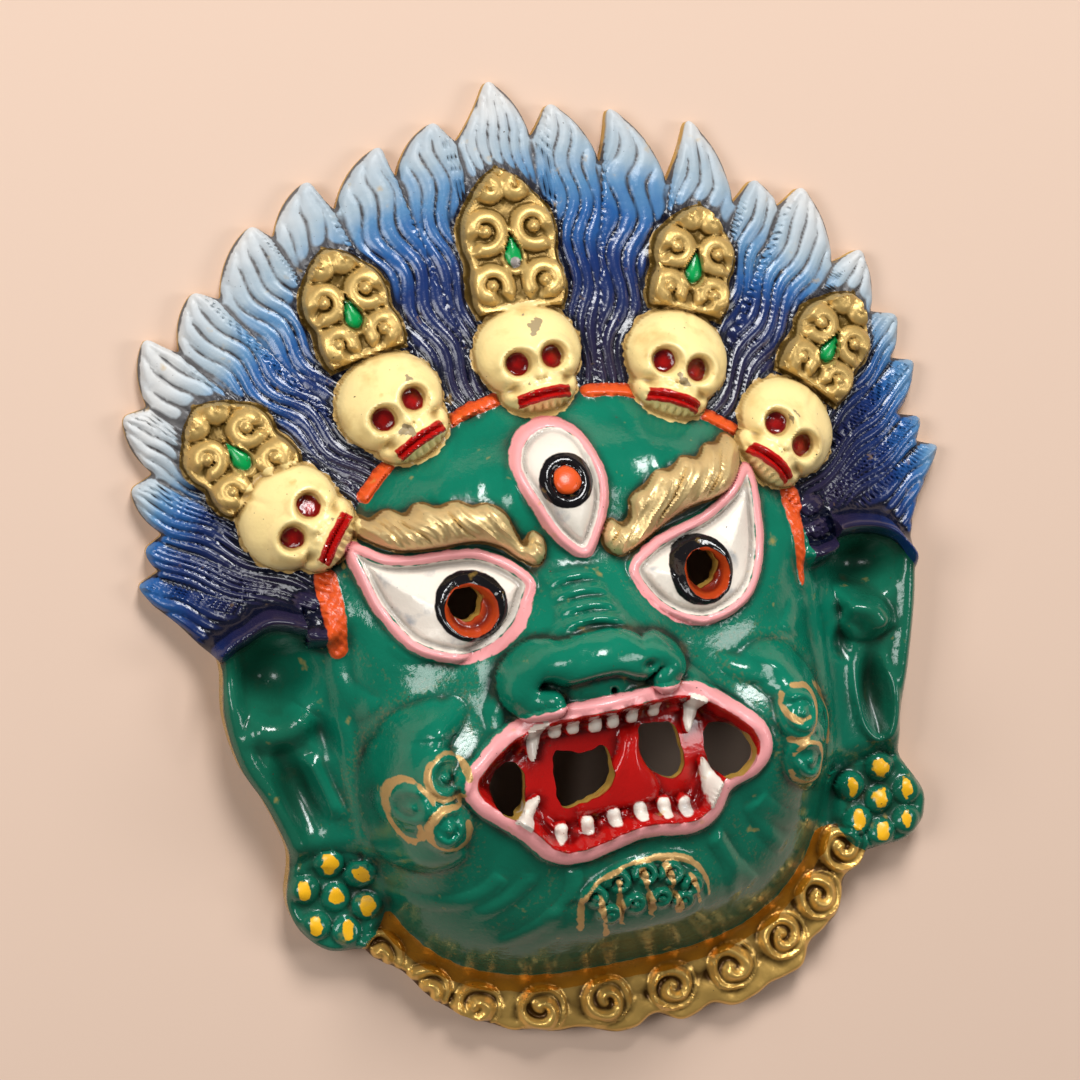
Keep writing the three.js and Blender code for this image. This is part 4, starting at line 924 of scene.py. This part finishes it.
# Points for the mesh: close together where the surface bends, wide apart where it is smooth.
meshSpec = {"pitch": 0.42, "bend": (0.04, 0.12), "backPitch": 3.2, "wallRows": 3, "hollowReach": 3,
            "leastWall": 1.0}


def holeLoops():
    loops = []
    turn = np.linspace(0, math.tau, 44, endpoint=False)
    for k, eye in enumerate(eyes):
        cx, cy, radius = eye["hole"]
        ragged = 0.05 * np.sin(3 * turn + k) + 0.04 * np.sin(7 * turn + 2 * k) + 0.02 * np.sin(13 * turn)
        r = radius * (1 + ragged)
        loops.append(np.c_[cx + r * np.cos(turn), cy + r * np.sin(turn)])
    for hole in mouth["holes"]:
        path = evenSteps(curve(hole, True)[:-1], 0.5)
        ragged = np.c_[ripple(*path.T, 2.4, 31), ripple(*path.T, 2.4, 32)]
        path = path + 0.14 * ragged
        loops.append(path)
    return loops


def openArea(x, y, loops, margin):
    keep = nearest(outlineLoop, x, y, 2, True)[0] < -margin
    for loop in loops:
        keep &= nearest(np.vstack([loop, loop[:1]]), x, y, 2, True)[0] > margin
    return keep


def blur(z, reach):
    for axis in (0, 1):
        total = np.zeros(z.shape)
        for k in range(-reach, reach + 1):
            total += np.roll(z, k, axis)
        z = total / (2 * reach + 1)
    return z


def samplePoints(loops):
    pitch = meshSpec["pitch"]
    xs = np.arange(-88, 88, pitch)
    ys = np.arange(-102, 102, pitch)
    gx, gy = np.meshgrid(xs, ys)
    z = frontHeight(gx.ravel(), gy.ravel()).reshape(gx.shape)
    bend = np.zeros(z.shape)
    for axis in (0, 1):
        bend = np.maximum(bend, np.abs(np.roll(z, 1, axis) + np.roll(z, -1, axis) - 2 * z))
    row, column = np.indices(z.shape)
    fine = bend > meshSpec["bend"][1]
    middle = (bend > meshSpec["bend"][0]) & ((row + column) % 2 == 0)
    coarse = (row % 2 == 0) & (column % 2 == 0) & ((row // 2 + column // 2) % 2 == 0)
    pick = (fine | middle | coarse).ravel()
    x, y = gx.ravel()[pick], gy.ravel()[pick]
    keep = openArea(x, y, loops, pitch * 0.6)
    groove = blur(blur(z, meshSpec["hollowReach"]), meshSpec["hollowReach"]) - z
    return x[keep], y[keep], (xs, ys, groove)


# Reads a value from the even grid at any point.
def readGrid(grid, x, y):
    xs, ys, values = grid
    c = (x - xs[0]) / (xs[1] - xs[0])
    r = (y - ys[0]) / (ys[1] - ys[0])
    c0 = np.clip(c.astype(int), 0, len(xs) - 2)
    r0 = np.clip(r.astype(int), 0, len(ys) - 2)
    fc, fr = c - c0, r - r0
    low = values[r0, c0] * (1 - fc) + values[r0, c0 + 1] * fc
    high = values[r0 + 1, c0] * (1 - fc) + values[r0 + 1, c0 + 1] * fc
    return low * (1 - fr) + high * fr


def triangulate(loops, x, y):
    points = []
    edges = []
    for loop in loops:
        first = len(points)
        points += [Vector(p) for p in loop]
        edges += [(first + i, first + (i + 1) % len(loop)) for i in range(len(loop))]
    rim = len(points)
    points += [Vector(p) for p in zip(x, y)]
    made = delaunay_2d_cdt(points, edges, [], 0, 1e-6)
    verts = np.array([tuple(p) for p in made[0]])
    faces = np.array([tuple(f) for f in made[2]])
    middle = verts[faces].mean(1)
    keep = openArea(middle[:, 0], middle[:, 1], loops[1:], 0)
    return verts, faces[keep], rim


def buildMask():
    loops = [outline] + holeLoops()
    x, y, grid = samplePoints(loops[1:])
    front, frontFaces, rim = triangulate(loops, x, y)
    back = np.arange(-86, 100, meshSpec["backPitch"])
    bx, by = [g.ravel() for g in np.meshgrid(back, back - 7)]
    keep = openArea(bx, by, loops[1:], 1.2)
    behind, behindFaces, _ = triangulate(loops, bx[keep], by[keep])
    frontZ = frontHeight(*front.T)
    behindZ = np.minimum(backHeight(*behind.T), frontHeight(*behind.T) - meshSpec["leastWall"])
    rows = meshSpec["wallRows"]
    verts = [np.c_[front, frontZ], np.c_[behind, behindZ]]
    faces = [frontFaces, behindFaces[:, ::-1] + len(front)]
    start = len(front) + len(behind)
    levels = [np.arange(rim)]
    for k in range(1, rows):
        share = k / rows
        z = frontZ[:rim] * (1 - share) + behindZ[:rim] * share
        verts.append(np.c_[front[:rim], z])
        levels.append(start + np.arange(rim))
        start += rim
    levels.append(len(front) + np.arange(rim))
    first = 0
    for loop in loops:
        ring = first + np.arange(len(loop))
        after = first + (np.arange(len(loop)) + 1) % len(loop)
        for upper, lower in zip(levels, levels[1:]):
            faces.append(np.c_[upper[ring], lower[ring], lower[after]])
            faces.append(np.c_[upper[ring], lower[after], upper[after]])
        first += len(loop)
    verts = np.vstack(verts)
    faces = np.vstack(faces)
    back = np.zeros(len(verts))
    back[len(front):len(front) + len(behind)] = 1
    back[len(front):len(front) + rim] = 0.4
    back[len(front) + len(behind):] = 0.4
    print("mask mesh", len(verts), "points", len(faces), "triangles")
    return verts, faces, back, grid


# A small cast eye behind the forehead, to hang the mask by. It stays within the hollow.
lug = {"y": 46, "height": 4.6, "radius": 4.2, "thickness": 3, "bore": 4, "stem": 9, "sides": 36}


def lugShape(first):
    turn = np.linspace(0, math.tau, lug["sides"], endpoint=False)
    c, s = np.cos(turn), np.sin(turn)
    stem = np.minimum(lug["radius"] / np.maximum(np.abs(c), 1e-6), lug["stem"] / np.maximum(s, 1e-6))
    reach = np.where(s > 0, stem, lug["radius"])
    rings = []
    for side in (-0.5, 0.5):
        for radius in (reach, np.full(turn.shape, lug["bore"] / 2)):
            rings.append(np.c_[np.full(turn.shape, side * lug["thickness"]), lug["y"] + radius * c,
                               lug["height"] + radius * s])
    faces = []
    n = lug["sides"]
    here, after = np.arange(n), (np.arange(n) + 1) % n
    for a, b in ((0, 1), (1, 3), (3, 2), (2, 0)):
        a, b = first + a * n, first + b * n
        faces.append(np.c_[a + here, b + here, b + after])
        faces.append(np.c_[a + here, b + after, a + after])
    return np.vstack(rings), np.vstack(faces)


def setAttribute(mesh, name, values):
    layer = mesh.attributes.new(name, "FLOAT", "POINT")
    layer.data.foreach_set("value", values.astype(np.float32))


def makeMask():
    verts, faces, back, grid = buildMask()
    lugVerts, lugFaces = lugShape(len(verts))
    verts = np.vstack([verts, lugVerts])
    faces = np.vstack([faces, lugFaces])
    back = np.r_[back, np.ones(len(lugVerts))]
    mesh = bpy.data.meshes.new("paintedMask")
    placed = (verts - np.array([drawingMiddle[0], drawingMiddle[1], 0])) * mm
    mesh.from_pydata(placed.tolist(), [], faces.tolist())
    mesh.update()
    x, y = verts[:, 0], verts[:, 1]
    for name, area in paintAreas(x, y).items():
        setAttribute(mesh, name, np.clip(area, -6, 6))
    # The lower flames stay blue to their tips.
    blueSide = np.where(x > 0, 0.22 * ease(56, 26, y), 0.30 * ease(36, 10, y))
    setAttribute(mesh, "share", crownShare(x, y) - blueSide)
    setAttribute(mesh, "groove", readGrid(grid, x, y))
    setAttribute(mesh, "back", back)
    mesh.polygons.foreach_set("use_smooth", [True] * len(mesh.polygons))
    mesh.set_sharp_from_angle(angle=math.radians(60))
    piece = bpy.data.objects.new("paintedMask", mesh)
    bpy.context.collection.objects.link(piece)
    return piece


# Paint. Each colour is a thin coat whose edge wavers like a brush stroke.
coats = [
    # name, colour, painted shade colour in the grooves, roughness, metallic, edge waver in mm
    # the hair's own colour comes from enamel["hair"]
    ("hair", None, (0.002, 0.003, 0.012), 0.22, 0.0, 0.3),
    ("gold", (0.54, 0.36, 0.12), (0.12, 0.068, 0.010), 0.42, 0.55, 0.45),
    ("brass", (0.66, 0.48, 0.22), (0.19, 0.105, 0.03), 0.40, 0.5, 0.3),
    ("bronze", (0.68, 0.42, 0.11), (0.060, 0.024, 0.001), 0.32, 0.6, 0.45),
    ("amber", (0.50, 0.20, 0.012), (0.12, 0.045, 0.004), 0.26, 0.5, 0.3),
    ("cream", (0.85, 0.66, 0.29), (0.42, 0.27, 0.09), 0.30, 0.0, 0.9),
    ("pink", (0.78, 0.32, 0.32), (0.50, 0.14, 0.14), 0.26, 0.0, 0.35),
    ("red", (0.40, 0.006, 0.005), (0.14, 0.002, 0.002), 0.15, 0.0, 0.3),
    ("white", (0.74, 0.67, 0.58), (0.42, 0.37, 0.32), 0.24, 0.0, 0.35),
    ("black", (0.006, 0.005, 0.006), (0.004, 0.003, 0.003), 0.12, 0.0, 0.25),
    ("orange", (0.62, 0.075, 0.01), (0.30, 0.03, 0.006), 0.34, 0.0, 0.35),
    ("ember", (0.42, 0.045, 0.008), (0.14, 0.010, 0.003), 0.26, 0.0, 0.25),
    ("stroke", (0.52, 0.32, 0.12), (0.24, 0.13, 0.04), 0.42, 0.35, 0.4),
    ("yellow", (0.80, 0.41, 0.010), (0.40, 0.18, 0.01), 0.34, 0.0, 1.1),
    ("jewel", (0.0, 0.27, 0.06), (0.0, 0.15, 0.03), 0.26, 0.0, 0.25),
    ("bare", (0.36, 0.33, 0.31), (0.2, 0.17, 0.16), 0.45, 0.5, 0.7),
    ("smudge", (0.33, 0.25, 0.13), (0.2, 0.14, 0.08), 0.4, 0.0, 3.4),
]


# Small builders for shader nodes. A number or a colour goes into the socket itself.
def fillSocket(tree, socket, value):
    if isinstance(value, (int, float)):
        socket.default_value = value
    elif isinstance(value, tuple):
        socket.default_value = (*value, 1)
    else:
        tree.links.new(value, socket)


def shaderTools(tree):
    place = tree.nodes.new("ShaderNodeTexCoord").outputs["Object"]

    def noise(scale, detail=3.0):
        node = tree.nodes.new("ShaderNodeTexNoise")
        node.inputs["Scale"].default_value = scale
        node.inputs["Detail"].default_value = detail
        tree.links.new(place, node.inputs["Vector"])
        return node.outputs["Fac"]

    def sums(kind, *values):
        node = tree.nodes.new("ShaderNodeMath")
        node.operation = kind
        for socket, value in zip(node.inputs, values):
            fillSocket(tree, socket, value)
        return node.outputs[0]

    def level(value, gain, start=0.0):
        node = sums("MULTIPLY_ADD", value, gain, start)
        node.node.use_clamp = True
        return node

    def mixColour(factor, first, second):
        node = tree.nodes.new("ShaderNodeMix")
        node.data_type = "RGBA"
        for slot, value in ((0, factor), (6, first), (7, second)):
            fillSocket(tree, node.inputs[slot], value)
        return node.outputs[2]

    def mixValue(factor, first, second):
        kept = sums("MULTIPLY", first, sums("SUBTRACT", 1.0, factor))
        return sums("ADD", kept, sums("MULTIPLY", second, factor))

    def attribute(name):
        node = tree.nodes.new("ShaderNodeAttribute")
        node.attribute_name = name
        return node.outputs["Fac"]

    def bump(height, strength, distance, below=None):
        node = tree.nodes.new("ShaderNodeBump")
        node.inputs["Strength"].default_value = strength
        node.inputs["Distance"].default_value = distance
        tree.links.new(height, node.inputs["Height"])
        if below is not None:
            tree.links.new(below, node.inputs["Normal"])
        return node.outputs[0]

    return place, noise, sums, level, mixColour, mixValue, attribute, bump


enamel = {
    # The crease colour, the darker green for the jaw and ears and the tip groove colour are painted shade.
    "green": ((0.002, 0.105, 0.060), (0.004, 0.190, 0.112)), "crease": (0.001, 0.020, 0.012),
    "paintedShadeGreen": (0.010, 0.052, 0.026), "dust": (0.13, 0.10, 0.045), "rubbed": (0.15, 0.12, 0.05),
    "speck": (0.05, 0.035, 0.02), "smear": (0.36, 0.37, 0.37), "stain": (0.66, 0.45, 0.17),
    "tipGrooveShade": (0.10, 0.095, 0.095), "wallGold": (0.50, 0.30, 0.06), "bareBack": (0.20, 0.19, 0.18),
    "roughness": (0.14, 0.36), "specular": 0.4,
    # hair from the headband out to the flame tips
    "hair": [(0.0, (0.016, 0.012, 0.036)), (0.24, (0.008, 0.011, 0.050)), (0.46, (0.006, 0.024, 0.115)),
             (0.60, (0.016, 0.085, 0.26)), (0.72, (0.08, 0.20, 0.36)), (0.83, (0.28, 0.36, 0.42)),
             (1.0, (0.54, 0.54, 0.53))],
}


def hairColour(tree, share):
    ramp = tree.nodes.new("ShaderNodeValToRGB")
    steps = ramp.color_ramp.elements
    while len(steps) < len(enamel["hair"]):
        steps.new(0.5)
    for step, (at, tone) in zip(steps, enamel["hair"]):
        step.position = at
        step.color = (*tone, 1)
    tree.links.new(share, ramp.inputs[0])
    return ramp.outputs[0]


def paintMaterial():
    material = bpy.data.materials.new("enamelPaint")
    material.use_nodes = True
    tree = material.node_tree
    shader = tree.nodes["Principled BSDF"]
    place, noise, sums, level, mixColour, mixValue, attribute, bump = shaderTools(tree)

    # Green enamel with painted shade in the creases, dust in them, painted shade darkening the jaw and ears,
    # and rubbed edges.
    dustAndShadeNoise = noise(260, 4.0)
    groove = attribute("groove")
    # Painted shade: sunk places darken towards the crease colour by how far they lie below their
    # surroundings, broken up by noise.
    hollow = level(sums("MULTIPLY", groove, sums("ADD", dustAndShadeNoise, 0.35)), 1.5, -0.05)
    colour = mixColour(noise(70, 5.0), *enamel["green"])
    colour = mixColour(hollow, colour, enamel["crease"])
    dusty = sums("MULTIPLY", level(groove, 1.0), 2.6)
    colour = mixColour(level(sums("SUBTRACT", dustAndShadeNoise, 0.58), dusty), colour, enamel["dust"])
    # Painted shade: the green darkens towards the bottom of the jaw and out at the ears.
    spot = tree.nodes.new("ShaderNodeSeparateXYZ")
    tree.links.new(place, spot.inputs[0])
    jaw = level(spot.outputs["Y"], -34.0, -1.6)
    ear = level(sums("ABSOLUTE", spot.outputs["X"]), 110.0, -5.7)
    colour = mixColour(sums("MULTIPLY", sums("MAXIMUM", jaw, ear), 0.5), colour, enamel["paintedShadeGreen"])
    rubbed = level(attribute("wear"), 0.22, sums("MULTIPLY_ADD", noise(1300, 6.0), 3.4, -1.9))
    colour = mixColour(sums("MULTIPLY", rubbed, 0.6), colour, enamel["rubbed"])
    rough = mixValue(hollow, *enamel["roughness"])
    metal = 0.0

    # The other paints lie over it, one coat after another.
    waver = sums("SUBTRACT", noise(420, 2.0), 0.5)
    share = attribute("share")
    pale = level(share, 4.0, -2.6)
    mixedShare = sums("ADD", share, sums("MULTIPLY", sums("SUBTRACT", noise(120, 4.0), 0.5), 0.22))
    # Every coat darkens to its groove colour where the surface lies sunk: painted shade.
    for name, tone, deep, coatRough, coatMetal, waverSize in coats:
        factor = level(sums("ADD", attribute(name), sums("MULTIPLY", waver, waverSize * 2.4)), 5.0, 0.5)
        sunkShade = hollow
        if name == "hair":
            tone = hairColour(tree, mixedShare)
            # In the hair the painted shade in the strand grooves is stronger, and grey rather than near black
            # towards the pale tips.
            deep = mixColour(pale, deep, enamel["tipGrooveShade"])
            sunkShade = level(hollow, sums("MULTIPLY_ADD", pale, 0.5, 2.5))
            coatRough = mixValue(pale, coatRough, 0.5)
        if name == "white":
            tone = mixColour(level(noise(190, 5.0), 6.0, -3.5), tone, enamel["smear"])
        if name == "cream":
            tone = mixColour(level(noise(150, 5.0), 5.0, -2.7), tone, enamel["stain"])
        # The gold coats take stronger painted shade in their recesses.
        if name in ("gold", "brass", "bronze"):
            sunkShade = level(hollow, 1.6)
        colour = mixColour(factor, colour, mixColour(sunkShade, tone, deep))
        rough = mixValue(factor, rough, coatRough)
        metal = mixValue(factor, metal, coatMetal)
    colour = mixColour(level(sums("SUBTRACT", noise(1500, 1.0), 0.76), 20.0), colour, enamel["speck"])

    # Gold on the cut edge, bare metal behind.
    back = attribute("back")
    wall = level(back, 6.0, sums("MULTIPLY_ADD", noise(240, 3.0), 5.0, -3.4))
    colour = mixColour(wall, colour, enamel["wallGold"])
    back = level(back, 3.0, -1.6)
    fillSocket(tree, shader.inputs["Base Color"], mixColour(back, colour, enamel["bareBack"]))
    fillSocket(tree, shader.inputs["Roughness"], mixValue(back, rough, 0.6))
    fillSocket(tree, shader.inputs["Metallic"], mixValue(back, metal, 0.5))
    shader.inputs["Specular IOR Level"].default_value = enamel["specular"]
    brush = bump(noise(110, 2.0), 0.5, 0.0006)
    tree.links.new(bump(noise(1100, 3.0), 0.3, 0.0002, brush), shader.inputs["Normal"])
    return material


# Camera where the photograph was taken from, looking down on the lying mask.
view = {
    "place": (-115.2, 61.9, 601.9),
    "right": (0.9688, -0.1498, 0.1973), "up": (0.165, 0.9843, -0.0625), "back": (-0.1849, 0.0931, 0.9783),
    "lens": 100, "sensor": 36,
}


def setCamera():
    camera = bpy.data.cameras.new("camera")
    camera.sensor_fit = "HORIZONTAL"
    camera.sensor_width = view["sensor"]
    camera.lens = view["lens"]
    camera.clip_start = 0.01
    holder = bpy.data.objects.new("camera", camera)
    bpy.context.collection.objects.link(holder)
    axes = Matrix([view["right"], view["up"], view["back"]]).transposed()
    place = Vector(view["place"]) - Vector((drawingMiddle[0], drawingMiddle[1], 0))
    holder.matrix_world = Matrix.Translation(place * mm) @ axes.to_4x4()
    bpy.context.scene.camera = holder


studio = {
    "floor": 3.0, "floorColour": (0.62, 0.455, 0.355), "air": (1.0, 0.98, 0.96), "airStrength": 0.11,
    "target": (0, 0, 0.02),
    "lamps": {
        # place, size, power
        "keyLight": ((0.18, 0.80, 0.76), 0.36, 12.5),
        "fillLight": ((-0.66, 0.22, 0.74), 0.40, 5.2),
        "rimLight": ((0.74, -0.06, 0.66), 0.30, 2.6),
    },
}


def addLight(name, place, size, power):
    light = bpy.data.lights.new(name, "AREA")
    light.size = size
    light.energy = power
    holder = bpy.data.objects.new(name, light)
    holder.location = place
    holder.rotation_euler = (Vector(studio["target"]) - Vector(place)).to_track_quat("-Z", "Y").to_euler()
    bpy.context.collection.objects.link(holder)


def addFloor():
    half = studio["floor"]
    mesh = bpy.data.meshes.new("floor")
    corners = [(-half, -half, 0), (half, -half, 0), (half, half, 0), (-half, half, 0)]
    mesh.from_pydata(corners, [], [(0, 1, 2, 3)])
    floor = bpy.data.objects.new("floor", mesh)
    bpy.context.collection.objects.link(floor)
    material = bpy.data.materials.new("paleFloor")
    material.use_nodes = True
    shader = material.node_tree.nodes["Principled BSDF"]
    shader.inputs["Base Color"].default_value = (*studio["floorColour"], 1)
    shader.inputs["Roughness"].default_value = 0.9
    mesh.materials.append(material)


def setStudio():
    addFloor()
    world = bpy.data.worlds.new("studio")
    bpy.context.scene.world = world
    world.use_nodes = True
    air = world.node_tree.nodes["Background"]
    air.inputs["Color"].default_value = (*studio["air"], 1)
    air.inputs["Strength"].default_value = studio["airStrength"]
    for name, lamp in studio["lamps"].items():
        addLight(name, *lamp)
    bpy.context.scene.view_settings.view_transform = "Standard"


print("camera and studio")
setCamera()
setStudio()
print("mask")
paintedMask = makeMask()
paintedMask.data.materials.append(paintMaterial())
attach(paintedMask, "root")
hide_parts("mask")
